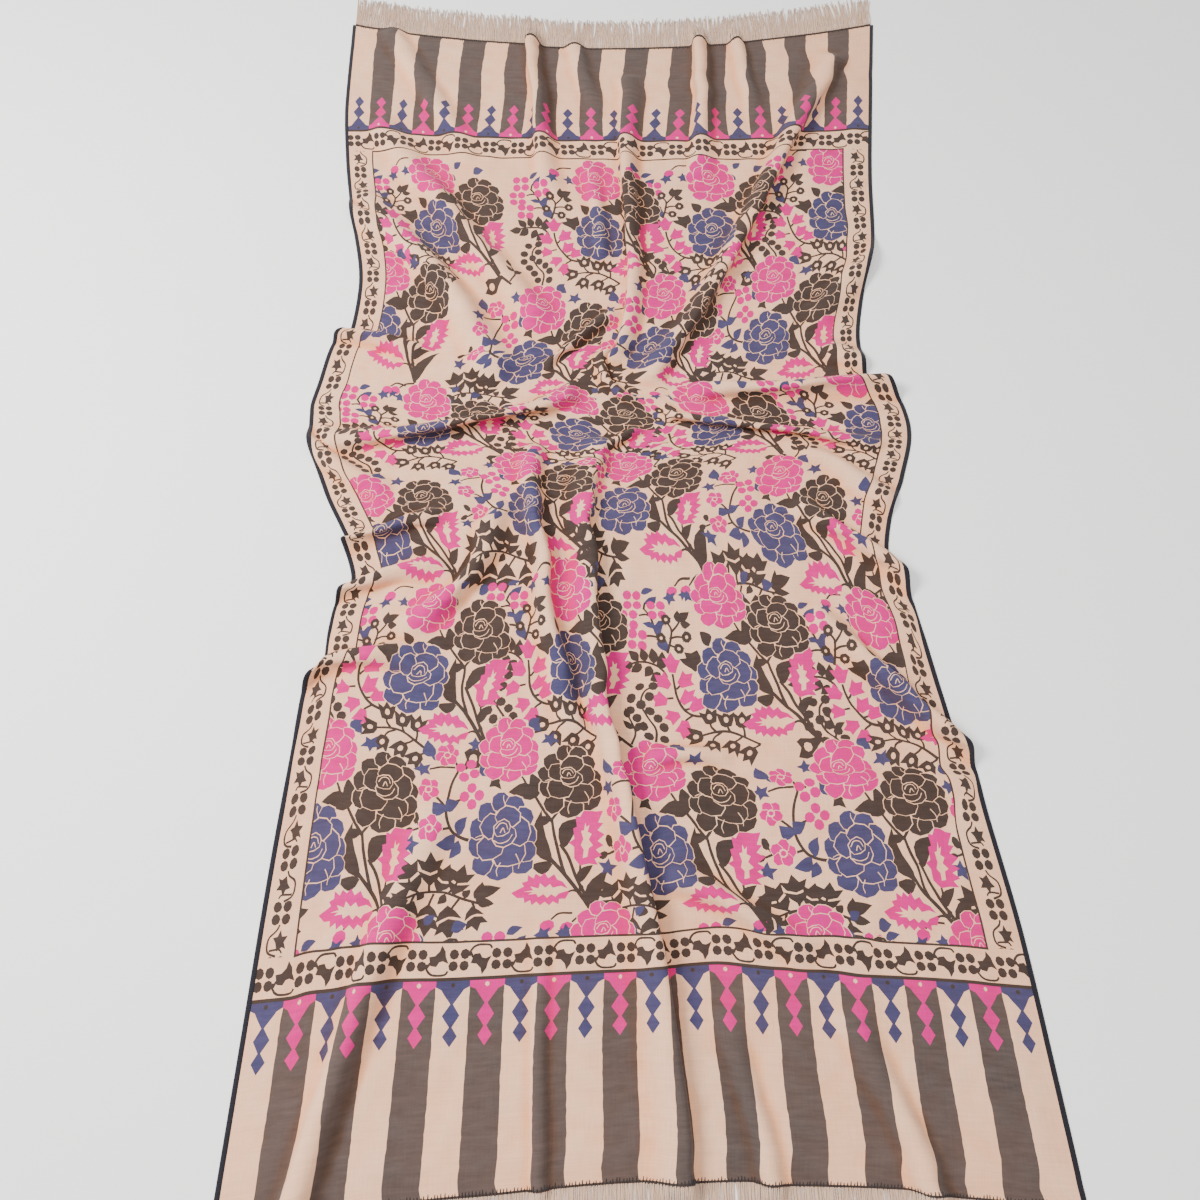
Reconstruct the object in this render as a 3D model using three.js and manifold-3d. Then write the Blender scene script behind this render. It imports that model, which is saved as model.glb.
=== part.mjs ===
// A kani shawl laid on a floor and bunched a little at its middle.
// Millimetres, Z up. X runs across the shawl, Y from the near end to the far end.
import * as THREE from 'three'
import { mergeVertices } from 'three/addons/utils/BufferGeometryUtils.js'
import Module from 'manifold-3d'

// The cut size of the cloth, before it was laid down
const CLOTH_WIDTH = 1000
const CLOTH_LENGTH = 2000
const EDGING_WIDTH = 6
const FRINGE_LENGTH = 78

// Thickness of each part, and the gap kept between two parts
const CLOTH_WALL = 1.5
const EDGING_WALL = 1.7
const SEAM_GAP = 0.8

// Mesh sizes
const MESH_SIZE = { along: 42, open: 64, rim: 40, minimum: 7 }
const MESH_ACROSS = [-1, -0.72, -0.44, -0.16, 0.12, 0.4, 0.7, 1]

// How far a fold gathers the flat cloth beside it
const GATHER_REACH = 220
// How sharply two crossing folds join, from 1 for their sum upward
const JOIN_POWER = 3

// The loose warp at each end: how many strands, the strip at their roots, and how they stray
const FRINGE = {
  count: 78, strip: 3, lift: 1.2, sway: 3, drift: 5, uneven: 0.16,
  stations: [{ share: 0, thick: 0.7 }, { share: 0.45, thick: 0.9 }, { share: 1, thick: 0.6 }],
}

const HALF_WIDTH = CLOTH_WIDTH / 2
const HALF_LENGTH = CLOTH_LENGTH / 2
const CLOTH_HALF = HALF_WIDTH - EDGING_WIDTH - SEAM_GAP
const DEGREES = Math.PI / 180

// Where each long side lies: the place along the cut cloth, then the place on the floor
const LEFT_SIDE = {
  columns: ['along', 'x', 'y'],
  rows: [
    [-1000, -486, -955], [-788, -474, -744], [-620, -463, -554], [-478, -451, -397],
    [-412, -446, -330], [-358, -421, -295], [-325, -420, -262], [-274, -415, -214],
    [-204, -393, -168], [-150, -407, -118], [-125, -403, -113], [-88, -415, -88],
    [0, -444, -29], [118, -477, 74], [172, -479, 117], [220, -472, 160],
    [304, -452, 241], [330, -434, 246], [424, -424, 342], [573, -448, 492],
    [697, -468, 617], [825, -481, 759], [1000, -484, 953],
  ],
}
const RIGHT_SIDE = {
  columns: ['along', 'x', 'y'],
  rows: [
    [-1000, 485, -950], [-862, 477, -822], [-700, 466, -665], [-565, 448, -521],
    [-492, 440, -455], [-424, 422, -409], [-374, 414, -362], [-250, 395, -238],
    [-192, 381, -180], [-160, 368, -157], [-78, 384, -82], [-20, 406, -33],
    [105, 429, 58], [150, 424, 96], [190, 404, 126], [248, 375, 150],
    [316, 371, 208], [421, 390, 314], [526, 420, 420], [652, 432, 546],
    [825, 456, 732], [1000, 482, 925],
  ],
}
// How far the middle of each crosswise line lies beyond the line's ends
const BOW = {
  columns: ['along', 'bow'],
  rows: [
    [-1000, 36], [-717, 20], [-609, -4], [-373, -2], [-137, 30], [99, 6],
    [335, -34], [571, -30], [717, -22], [1000, -63],
  ],
}

// The folds, placed on the cut cloth. A fold runs from its start to its end, and bulges to its left,
// with skew added to its first half and taken from its second.
// half is half the cloth in it, steep its steepest slope in degrees, start and end the shares of
// that slope at its two ends, and lean the angle to which it lies over to its left.
const FOLDS = {
  columns: ['fromX', 'fromY', 'toX', 'toY', 'bulge', 'skew', 'half', 'steep', 'start', 'end', 'lean'],
  rows: {
    upRight: [92, 232, 430, 945, 8, 0, 42, 84, 0.5, 0.7, -25],
    up: [32, 930, 40, 285, -6, 0, 32, 74, 0.5, 0.8, -20],
    upLeftHigh: [-450, 800, -130, 370, -10, 0, 44, 42, 0.4, 0.6, 0],
    upLeftLow: [-490, 640, -160, 262, -12, 0, 48, 50, 0.4, 0.6, 0],
    crown: [2, 404, -100, 282, -16, 0, 24, 62, 0.6, 0.5, 6],
    leftArm: [-30, 226, -490, 96, 34, 0, 42, 84, 0.6, 0.45, 25],
    leftEdge: [-560, 150, -390, -50, 10, 0, 32, 50, 1, 0.3, 0],
    rightArm: [160, 226, 545, 192, -4, 0, 40, 72, 0.6, 1.1, 4],
    rightCrease: [92, 156, 460, 44, -10, 0, 32, 82, 0.8, 0.4, -25],
    hook: [4, 328, 60, 176, -10, 0, 20, 64, 0.8, 0.7, 8],
    down: [-14, 96, 30, -1050, -44, -24, 44, 94, 0.4, 0.62, 30],
    downLeft: [-128, 60, -92, -470, -50, 0, 36, 80, 0.4, 0.5, 15],
    diagonal: [52, 112, -40, 20, 0, 0, 22, 60, 0.8, 0.4, 0],
    lowLeft: [-210, -110, -390, -330, 10, 0, 36, 66, 0.4, 0.4, 0],
    sideA: [-540, -152, -320, -118, 4, 0, 30, 74, 1, 0.3, 12],
    sideB: [-540, -256, -330, -200, 6, 0, 28, 72, 1, 0.3, 12],
    sideC: [-540, -398, -340, -352, 4, 0, 30, 74, 1, 0.3, 12],
    sideD: [545, -218, 310, -100, 8, 0, 34, 74, 1, 0.3, -8],
    sideE: [510, -78, 310, 14, 4, 0, 30, 40, 1, 0.4, 0],
    sideF: [545, -496, 300, -268, 6, 0, 34, 74, 1, 0.3, -8],
    shelf: [44, -490, 172, -488, 12, 0, 22, 60, 0.5, 0.3, 0],
    branch: [52, -630, 235, -752, 6, 0, 32, 54, 0.5, 0.4, 0],
    nearLeft: [-272, -540, -412, -1050, -12, 0, 40, 54, 0.4, 1.1, 0],
    nearRidge: [-138, -700, -127, -1050, 0, 0, 18, 50, 0.4, 1.1, 0],
    nearRight: [108, -800, 160, -1050, 4, 0, 26, 48, 0.4, 1.1, 0],
    nearFarRight: [256, -790, 348, -1050, 4, 0, 32, 50, 0.4, 1.1, 0],
    farLeft: [-168, 1050, -124, 630, 8, 0, 34, 76, 1.05, 0.3, -15],
    farMiddle: [150, 1050, 156, 660, 16, 0, 32, 70, 1.05, 0.3, -12],
    farRight: [228, 1050, 270, 790, 4, 0, 24, 50, 1.05, 0.3, 0],
    farSlant: [-440, 1010, -262, 690, 6, 0, 34, 34, 1, 0.4, 0],
    farSoft: [-84, 1050, -30, 800, 4, 0, 26, 38, 1.1, 0.3, 0],
    farShort: [-48, 720, -36, 500, -4, 0, 24, 36, 0.5, 1, 0],
    sideG: [-545, 600, -400, 520, 4, 0, 38, 34, 1.1, 0.4, 0],
    sideH: [-545, 318, -330, 306, 4, 0, 30, 74, 1.05, 0.3, 12],
    sideI: [545, 530, 390, 358, 4, 0, 44, 34, 1.1, 0.4, 0],
    sideJ: [545, 262, 400, 330, 4, 0, 30, 38, 1.1, 0.4, 0],
  },
}

const clamp = (value, low, high) => Math.min(Math.max(value, low), high)
const blend = (low, high, share) => low + (high - low) * share
const smooth = (share) => share * share * (3 - 2 * share)

function readFolds () {
  return Object.values(FOLDS.rows).map((values) => {
    const fold = Object.fromEntries(FOLDS.columns.map((name, i) => [name, values[i]]))
    const across = fold.toX - fold.fromX
    const along = fold.toY - fold.fromY
    fold.length = Math.hypot(across, along)
    fold.dirX = across / fold.length
    fold.dirY = along / fold.length
    fold.fade = Math.min(fold.half, fold.length / 4)
    return fold
  })
}

// A curve through the rows of a table that never swings past them
function tableCurve (table, name) {
  const at = table.rows.map((row) => row[0])
  const value = table.rows.map((row) => row[table.columns.indexOf(name)])
  const rise = at.slice(1).map((next, i) => (value[i + 1] - value[i]) / (next - at[i]))
  const slope = at.map((place, i) => {
    if (i === 0) return rise[0]
    if (i === at.length - 1) return rise[i - 1]
    return rise[i - 1] * rise[i] <= 0 ? 0 : 2 * rise[i - 1] * rise[i] / (rise[i - 1] + rise[i])
  })
  return (place) => {
    let i = 0
    while (i < at.length - 2 && place > at[i + 1]) i++
    const gap = at[i + 1] - at[i]
    const u = clamp((place - at[i]) / gap, 0, 1)
    const startShare = (1 + 2 * u) * (1 - u) * (1 - u)
    const endShare = smooth(u)
    return startShare * value[i] + endShare * value[i + 1] +
      gap * u * (1 - u) * ((1 - u) * slope[i] - u * slope[i + 1])
  }
}

// The lengthwise share and cross-section of a fold whose slope is steep * sin, as Bessel series
function section (steep, tau) {
  const q = steep * steep
  const flat = 1 - q / 4 + q * q / 64 - q * q * q / 2304
  const rise = steep / 2 - steep * q / 16 + steep * q * q / 384
  const tuck = q / 8 - q * q / 96 + q * q * q / 3072
  return {
    across: flat * tau + tuck / Math.PI * Math.sin(2 * Math.PI * tau),
    height: 2 * rise / Math.PI * (1 + Math.cos(Math.PI * tau)),
  }
}

const folds = readFolds()
const leftX = tableCurve(LEFT_SIDE, 'x')
const leftY = tableCurve(LEFT_SIDE, 'y')
const rightX = tableCurve(RIGHT_SIDE, 'x')
const rightY = tableCurve(RIGHT_SIDE, 'y')
const bowAt = tableCurve(BOW, 'bow')

// How far a fold's line lies to the left of straight
const wander = (fold, a) => fold.bulge * 4 * a * (1 - a) + fold.skew * Math.sin(2 * Math.PI * a)

// What all folds do at a place on the cut cloth: the gathering, the lean and the height
function foldedAt (s, t) {
  const result = { pullX: 0, pullY: 0, leanX: 0, leanY: 0, height: 0 }
  let sum = 0
  for (const fold of folds) {
    const fromX = s - fold.fromX
    const fromY = t - fold.fromY
    const along = fromX * fold.dirX + fromY * fold.dirY
    if (along <= 0 || along >= fold.length) continue
    const a = along / fold.length
    const across = fromY * fold.dirX - fromX * fold.dirY - wander(fold, a)
    const ends = smooth(clamp(Math.min(along, fold.length - along) / fold.fade, 0, 1))
    const share = a < 0.5 ? blend(fold.start, 1, smooth(2 * a)) : blend(1, fold.end, smooth(2 * a - 1))
    const tau = clamp(across / fold.half, -1, 1)
    const cut = section(fold.steep * DEGREES * share * ends, tau)
    const beyond = Math.max(0, Math.abs(across) - fold.half) / GATHER_REACH
    const pull = fold.half * (cut.across - tau) / (1 + beyond * beyond)
    const height = fold.half * cut.height
    const lean = height * Math.sin(fold.lean * DEGREES)
    result.pullX -= pull * fold.dirY
    result.pullY += pull * fold.dirX
    result.leanX -= lean * fold.dirY
    result.leanY += lean * fold.dirX
    sum += Math.pow(height * Math.cos(fold.lean * DEGREES), JOIN_POWER)
  }
  result.height = Math.pow(sum, 1 / JOIN_POWER)
  return result
}

// Where a point of the cut cloth lies on the floor
function laid (s, t) {
  const here = foldedAt(s, t)
  const left = foldedAt(-HALF_WIDTH, t)
  const right = foldedAt(HALF_WIDTH, t)
  const share = (s + HALF_WIDTH) / CLOTH_WIDTH
  const start = -HALF_WIDTH + left.pullX
  const gathered = (s + here.pullX - start) / (HALF_WIDTH + right.pullX - start)
  const bow = bowAt(t) * 4 * share * (1 - share)
  return new THREE.Vector3(
    blend(leftX(t), rightX(t), gathered) + here.leanX,
    blend(leftY(t), rightY(t), share) + bow + here.pullY - blend(left.pullY, right.pullY, share) + here.leanY,
    here.height
  )
}

function evenSteps (from, to, size) {
  const count = Math.max(1, Math.round(Math.abs(to - from) / size))
  return Array.from({ length: count + 1 }, (_, i) => blend(from, to, i / count))
}

// Places along one side or hem where a fold runs over it
function foldCrossings (along, value) {
  const reach = along === 'y' ? HALF_LENGTH : CLOTH_HALF
  return folds.flatMap((fold) => {
    const side = along === 'y'
    const [from, to] = side ? [fold.fromX, fold.toX] : [fold.fromY, fold.toY]
    const share = (value - from) / (to - from)
    if (!(share > 0 && share < 1)) return []
    const middle = side ? blend(fold.fromY, fold.toY, share) : blend(fold.fromX, fold.toX, share)
    const spread = fold.half / Math.abs(side ? fold.dirX : fold.dirY)
    return MESH_ACROSS.map((tau) => middle + tau * spread).filter((place) => Math.abs(place) < reach)
  })
}

// Mesh points on the cut cloth: its rim, then rows across each fold, then an open grid
function clothPoints (half) {
  const cells = new Map()
  const points = []
  const key = (x, y) => Math.floor(x / 60) * 10000 + Math.floor(y / 60)
  const add = (x, y, clear) => {
    for (const dx of [-60, 0, 60]) {
      for (const dy of [-60, 0, 60]) {
        for (const other of cells.get(key(x + dx, y + dy)) ?? []) {
          if (Math.hypot(other[0] - x, other[1] - y) < clear) return
        }
      }
    }
    const point = [x, y]
    points.push(point)
    const home = key(x, y)
    cells.set(home, [...(cells.get(home) ?? []), point])
  }
  for (const end of [-1, 1]) {
    for (const side of [-1, 1]) add(side * half, end * HALF_LENGTH, 1)
    for (const y of foldCrossings('y', end * half)) add(end * half, y, MESH_SIZE.minimum)
    for (const x of foldCrossings('x', end * HALF_LENGTH)) add(x, end * HALF_LENGTH, MESH_SIZE.minimum)
    for (const y of evenSteps(-HALF_LENGTH, HALF_LENGTH, MESH_SIZE.rim)) {
      add(end * half, y, 0.5 * MESH_SIZE.rim)
    }
    for (const x of evenSteps(-half, half, MESH_SIZE.rim)) {
      add(x, end * HALF_LENGTH, 0.5 * MESH_SIZE.rim)
    }
  }
  const rimCount = points.length
  const inside = (x, y) => Math.abs(x) < half - MESH_SIZE.minimum &&
    Math.abs(y) < HALF_LENGTH - MESH_SIZE.minimum
  const steepFirst = [...folds].sort((a, b) => b.steep - a.steep)
  for (const fold of steepFirst) {
    const clear = Math.max(MESH_SIZE.minimum, 0.2 * fold.half)
    for (const along of evenSteps(0, fold.length, MESH_SIZE.along)) {
      const a = along / fold.length
      for (const tau of MESH_ACROSS) {
        const across = tau * fold.half + wander(fold, a)
        const x = fold.fromX + along * fold.dirX - across * fold.dirY
        const y = fold.fromY + along * fold.dirY + across * fold.dirX
        if (inside(x, y)) add(x, y, clear)
      }
    }
  }
  for (const y of evenSteps(-HALF_LENGTH, HALF_LENGTH, MESH_SIZE.open)) {
    for (const x of evenSteps(-half, half, MESH_SIZE.open)) {
      if (inside(x, y)) add(x, y, 0.55 * MESH_SIZE.open)
    }
  }
  return { points, rimCount }
}

// Delaunay triangles of flat points, added one at a time
function triangulate (points) {
  const far = 20 * CLOTH_LENGTH
  const all = [...points, [-far, -far], [far, -far], [0, far]]
  const n = points.length
  const circle = (a, b, c) => {
    const [ax, ay] = all[a]
    const bx = all[b][0] - ax
    const by = all[b][1] - ay
    const cx = all[c][0] - ax
    const cy = all[c][1] - ay
    const d = 2 * (bx * cy - by * cx)
    const ux = (cy * (bx * bx + by * by) - by * (cx * cx + cy * cy)) / d
    const uy = (bx * (cx * cx + cy * cy) - cx * (bx * bx + by * by)) / d
    return { a, b, c, x: ax + ux, y: ay + uy, r: ux * ux + uy * uy }
  }
  const order = points.map((_, i) => i).sort((i, j) => points[i][1] - points[j][1])
  let open = [circle(n, n + 1, n + 2)]
  const done = []
  for (const i of order) {
    const [x, y] = all[i]
    const edges = new Map()
    const kept = []
    for (const face of open) {
      const away = (x - face.x) ** 2 + (y - face.y) ** 2
      if (y > face.y && (y - face.y) ** 2 > face.r) {
        done.push(face)
      } else if (away > face.r * (1 - 1e-12)) {
        kept.push(face)
      } else {
        for (const [p, q] of [[face.a, face.b], [face.b, face.c], [face.c, face.a]]) {
          const twin = `${q},${p}`
          if (edges.has(twin)) edges.delete(twin)
          else edges.set(`${p},${q}`, [p, q])
        }
      }
    }
    open = kept
    for (const [p, q] of edges.values()) {
      const area = (all[q][0] - all[p][0]) * (y - all[p][1]) - (all[q][1] - all[p][1]) * (x - all[p][0])
      if (Math.abs(area) > 1e-6) open.push(circle(p, q, i))
    }
  }
  return [...done, ...open]
    .filter((face) => Math.max(face.a, face.b, face.c) < n)
    .map((face) => [face.a, face.b, face.c])
}

function closedGeometry (positions, faces) {
  const geometry = new THREE.BufferGeometry()
  geometry.setAttribute('position', new THREE.Float32BufferAttribute(positions.flatMap((p) => p.toArray()), 3))
  geometry.setIndex(faces.flat())
  geometry.computeVertexNormals()
  return geometry
}

// A wall of even thickness on one side of a sheet, closed round the sheet's rim
function thicken (lower, faces, thickness) {
  const sheet = closedGeometry(lower, faces)
  const normal = sheet.getAttribute('normal')
  const upper = lower.map((point, i) => {
    return new THREE.Vector3().fromBufferAttribute(normal, i).multiplyScalar(thickness).add(point)
  })
  return wall(lower, upper, faces)
}

// The closed body between two like sheets. Two bodies side by side split their facing rims alike.
function wall (lower, upper, faces, neighbour = false) {
  const n = lower.length
  const rim = new Map()
  for (const [a, b, c] of faces) {
    for (const [p, q] of [[a, b], [b, c], [c, a]]) {
      if (rim.has(`${q},${p}`)) rim.delete(`${q},${p}`)
      else rim.set(`${p},${q}`, [p, q])
    }
  }
  const walls = [...rim.values()].flatMap(([p, q]) => neighbour
    ? [[p, q, p + n], [q, q + n, p + n]]
    : [[p, q, q + n], [p, q + n, p + n]])
  const under = faces.map(([a, b, c]) => [a, c, b])
  const over = faces.map(([a, b, c]) => [a + n, b + n, c + n])
  return closedGeometry([...lower, ...upper], [...under, ...over, ...walls])
}

// The rows of a narrow strip of cloth, from one line of its cut to another
function stripFaces (count, facesUp) {
  const faces = []
  for (let i = 0; i < count - 1; i++) {
    const low = 2 * i
    faces.push([low, low + 1, low + 3], [low, low + 3, low + 2])
  }
  return facesUp ? faces : faces.map(([a, b, c]) => [a, c, b])
}

// The cloth's sheet, with the points of its rim first and their normals beside them
function makeSheet () {
  const { points, rimCount } = clothPoints(CLOTH_HALF)
  const faces = triangulate(points)
  const lower = points.map(([x, y]) => laid(x, y))
  const normal = closedGeometry(lower, faces).getAttribute('normal')
  const rim = points.slice(0, rimCount).map(([x, y], i) => {
    return { x, y, point: lower[i], normal: new THREE.Vector3().fromBufferAttribute(normal, i) }
  })
  return { lower, faces, rim }
}

// The part of the rim along one side or hem, in order
function rimLine (axis, value) {
  const other = axis === 'x' ? 'y' : 'x'
  return sheet.rim.filter((place) => place[axis] === value).sort((a, b) => a[other] - b[other])
}

// Away from the cloth in its own surface, square to the hem, at each place of the hem's line
function outwardWays (line) {
  return line.map((place, i) => {
    const before = line[Math.max(i - 1, 0)].point
    const after = line[Math.min(i + 1, line.length - 1)].point
    const way = after.clone().sub(before).cross(place.normal).normalize()
    return way.multiplyScalar(Math.sign(way.y * place.y))
  })
}

// A strip beyond a hem, from near it to its full width
function stripBeside (line, width, thickness, facesUp) {
  const ways = outwardWays(line)
  const lower = line.flatMap((place, i) => {
    return [SEAM_GAP, SEAM_GAP + width].map((distance) => {
      const point = place.point.clone().addScaledVector(ways[i], distance)
      point.z = Math.max(point.z, 0)
      return point
    })
  })
  const upper = lower.map((point, i) => {
    return point.clone().addScaledVector(line[Math.floor(i / 2)].normal, thickness)
  })
  return wall(lower, upper, stripFaces(line.length, facesUp), true)
}

// One loose end of yarn, three-sided, from inside its strip to a tip above the floor
function strand (root, away, index) {
  const sway = FRINGE.sway * Math.sin(index * 2.4) + FRINGE.drift * Math.sin(index * 0.31)
  const reach = FRINGE_LENGTH * (1 - FRINGE.uneven * Math.abs(Math.sin(index * 1.7)))
  const rings = FRINGE.stations.map(({ share, thick }) => {
    const centre = new THREE.Vector3(
      root.x + sway * share * share,
      root.y + away * reach * share,
      Math.max(root.z * (1 - share) * (1 - share), FRINGE.lift)
    )
    return [90, 210, 330].map((angle) => new THREE.Vector3(
      centre.x + thick * Math.cos(angle * DEGREES),
      centre.y,
      centre.z + thick * Math.sin(angle * DEGREES)
    ))
  })
  const faces = [[0, 2, 1]]
  for (let ring = 0; ring < rings.length - 1; ring++) {
    for (let i = 0; i < 3; i++) {
      const low = 3 * ring + i
      const next = 3 * ring + (i + 1) % 3
      faces.push([low, next, next + 3], [low, next + 3, low + 3])
    }
  }
  const last = 3 * (rings.length - 1)
  faces.push([last, last + 1, last + 2])
  return closedGeometry(rings.flat(), away < 0 ? faces : faces.map(([a, b, c]) => [a, c, b]))
}

function toSolid (geometry) {
  const bare = geometry.clone()
  bare.deleteAttribute('normal')
  const merged = mergeVertices(bare, 1e-4)
  return new wasm.Manifold(new wasm.Mesh({
    numProp: 3,
    vertProperties: merged.getAttribute('position').array,
    triVerts: new Uint32Array(merged.index.array),
  }))
}

// The loose warp beyond one hem, its roots joined in a narrow strip
function makeFringe (end) {
  const line = rimLine('y', end * HALF_LENGTH)
  const strip = toSolid(stripBeside(line, FRINGE.strip, CLOTH_WALL, end < 0))
  const ways = outwardWays(line)
  const roots = line.map((place, i) => place.point.clone()
    .addScaledVector(ways[i], SEAM_GAP + FRINGE.strip / 2)
    .addScaledVector(place.normal, CLOTH_WALL / 2))
  const strands = Array.from({ length: FRINGE.count }, (_, index) => {
    const x = blend(-CLOTH_HALF, CLOTH_HALF, (index + 0.5) / FRINGE.count)
    const after = Math.max(1, line.findIndex((place) => place.x > x))
    const share = (x - line[after - 1].x) / (line[after].x - line[after - 1].x)
    return toSolid(strand(roots[after - 1].clone().lerp(roots[after], share), end, index))
  })
  const joined = wasm.Manifold.union([strip, ...strands]).getMesh()
  const geometry = new THREE.BufferGeometry()
  geometry.setAttribute('position', new THREE.BufferAttribute(joined.vertProperties, 3))
  geometry.setIndex(new THREE.BufferAttribute(joined.triVerts, 1))
  geometry.computeVertexNormals()
  return geometry
}

// The dark edging sewn along one long side, laid as the outermost width of the cut cloth
function makeEdging (side) {
  const line = rimLine('x', side * CLOTH_HALF)
  const lower = line.flatMap(({ y }) => [laid(side * (CLOTH_HALF + SEAM_GAP), y), laid(side * HALF_WIDTH, y)])
  const upper = lower.map((point, i) => {
    return point.clone().addScaledVector(line[Math.floor(i / 2)].normal, EDGING_WALL)
  })
  return wall(lower, upper, stripFaces(line.length, side > 0), true)
}

const material = (color, roughness) => new THREE.MeshStandardMaterial({ color, roughness, metalness: 0 })

function named (name, geometry, look) {
  const mesh = new THREE.Mesh(geometry, look)
  mesh.name = name
  return mesh
}

const wasm = await Module()
wasm.setup()
const sheet = makeSheet()

const group = new THREE.Group()
group.add(named('cloth', thicken(sheet.lower, sheet.faces, CLOTH_WALL), material('#c9a891', 0.9)))
group.add(named('edging_left', makeEdging(-1), material('#232026', 0.85)))
group.add(named('edging_right', makeEdging(1), material('#232026', 0.85)))
group.add(named('fringe_near', makeFringe(-1), material('#b8aca0', 0.9)))
group.add(named('fringe_far', makeFringe(1), material('#b8aca0', 0.9)))

// The origin is on the floor, under the middle of the whole shawl
const extent = new THREE.Box3().setFromObject(group)
const middle = extent.getCenter(new THREE.Vector3())
group.position.set(-middle.x, -middle.y, -extent.min.z)

export default group
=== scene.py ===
# The kani shawl in wool: its laid folds, its woven flowers, its edging, hems and loose warp.
import math

import bpy
import numpy as np
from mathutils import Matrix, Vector
from mathutils.geometry import delaunay_2d_cdt


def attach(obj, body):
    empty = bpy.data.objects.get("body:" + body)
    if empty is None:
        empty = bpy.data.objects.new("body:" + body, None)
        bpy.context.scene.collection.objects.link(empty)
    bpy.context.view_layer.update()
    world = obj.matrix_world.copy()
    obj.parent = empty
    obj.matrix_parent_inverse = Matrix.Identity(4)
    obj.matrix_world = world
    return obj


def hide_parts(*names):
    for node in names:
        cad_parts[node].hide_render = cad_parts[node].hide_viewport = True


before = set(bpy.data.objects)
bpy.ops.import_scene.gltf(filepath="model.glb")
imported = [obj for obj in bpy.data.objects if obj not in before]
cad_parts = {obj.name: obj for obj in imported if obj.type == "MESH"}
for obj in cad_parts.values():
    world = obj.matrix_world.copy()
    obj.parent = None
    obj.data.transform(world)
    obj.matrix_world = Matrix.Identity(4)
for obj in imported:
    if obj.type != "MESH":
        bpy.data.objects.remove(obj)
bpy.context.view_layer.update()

MM = 0.001
TURN = 2 * math.pi

# The cut of the shawl in millimetres: across it from -500 to 500, along it from -1000 to 1000
HALF_WIDTH = 500
HALF_LENGTH = 1000
CLOTH_HALF = 494.6
FIELD_HALF = 450
FIELD_END = 717
BORDER_END = 760
FRINGE_LENGTH = 78
# Where the part's origin puts the middle of the cut
ORIGIN = (0.506, 2.362)

# The cloth's underside above the floor, and its thickness
CLOTH_LIFT = 0.1
CLOTH_WALL = 1.2
GRID = 5
# The cloth is made in five lengths, parted along the cut
LENGTHS = {
    "end_near": (-1000, -760),
    "flowers_near": (-760, -253),
    "flowers_middle": (-253, 253),
    "flowers_far": (253, 760),
    "end_far": (760, 1000),
}

LEFT_SIDE = (  # along, x, y
    (-1000, -486, -955), (-788, -474, -744), (-620, -463, -554), (-478, -451, -397),
    (-412, -446, -330), (-358, -421, -295), (-325, -420, -262), (-274, -415, -214),
    (-204, -393, -168), (-150, -407, -118), (-125, -403, -113), (-88, -415, -88),
    (0, -444, -29), (118, -477, 74), (172, -479, 117), (220, -472, 160),
    (304, -452, 241), (330, -434, 246), (424, -424, 342), (573, -448, 492),
    (697, -468, 617), (825, -481, 759), (1000, -484, 953),
)
RIGHT_SIDE = (  # along, x, y
    (-1000, 485, -950), (-862, 477, -822), (-700, 466, -665), (-565, 448, -521),
    (-492, 440, -455), (-424, 422, -409), (-374, 414, -362), (-250, 395, -238),
    (-192, 381, -180), (-160, 368, -157), (-78, 384, -82), (-20, 406, -33),
    (105, 429, 58), (150, 424, 96), (190, 404, 126), (248, 375, 150),
    (316, 371, 208), (421, 390, 314), (526, 420, 420), (652, 432, 546),
    (825, 456, 732), (1000, 482, 925),
)
BOW = (  # along, how far the middle lies beyond the ends
    (-1000, 36), (-717, 20), (-609, -4), (-373, -2), (-137, 30), (99, 6),
    (335, -34), (571, -30), (717, -22), (1000, -63),
)

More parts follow.
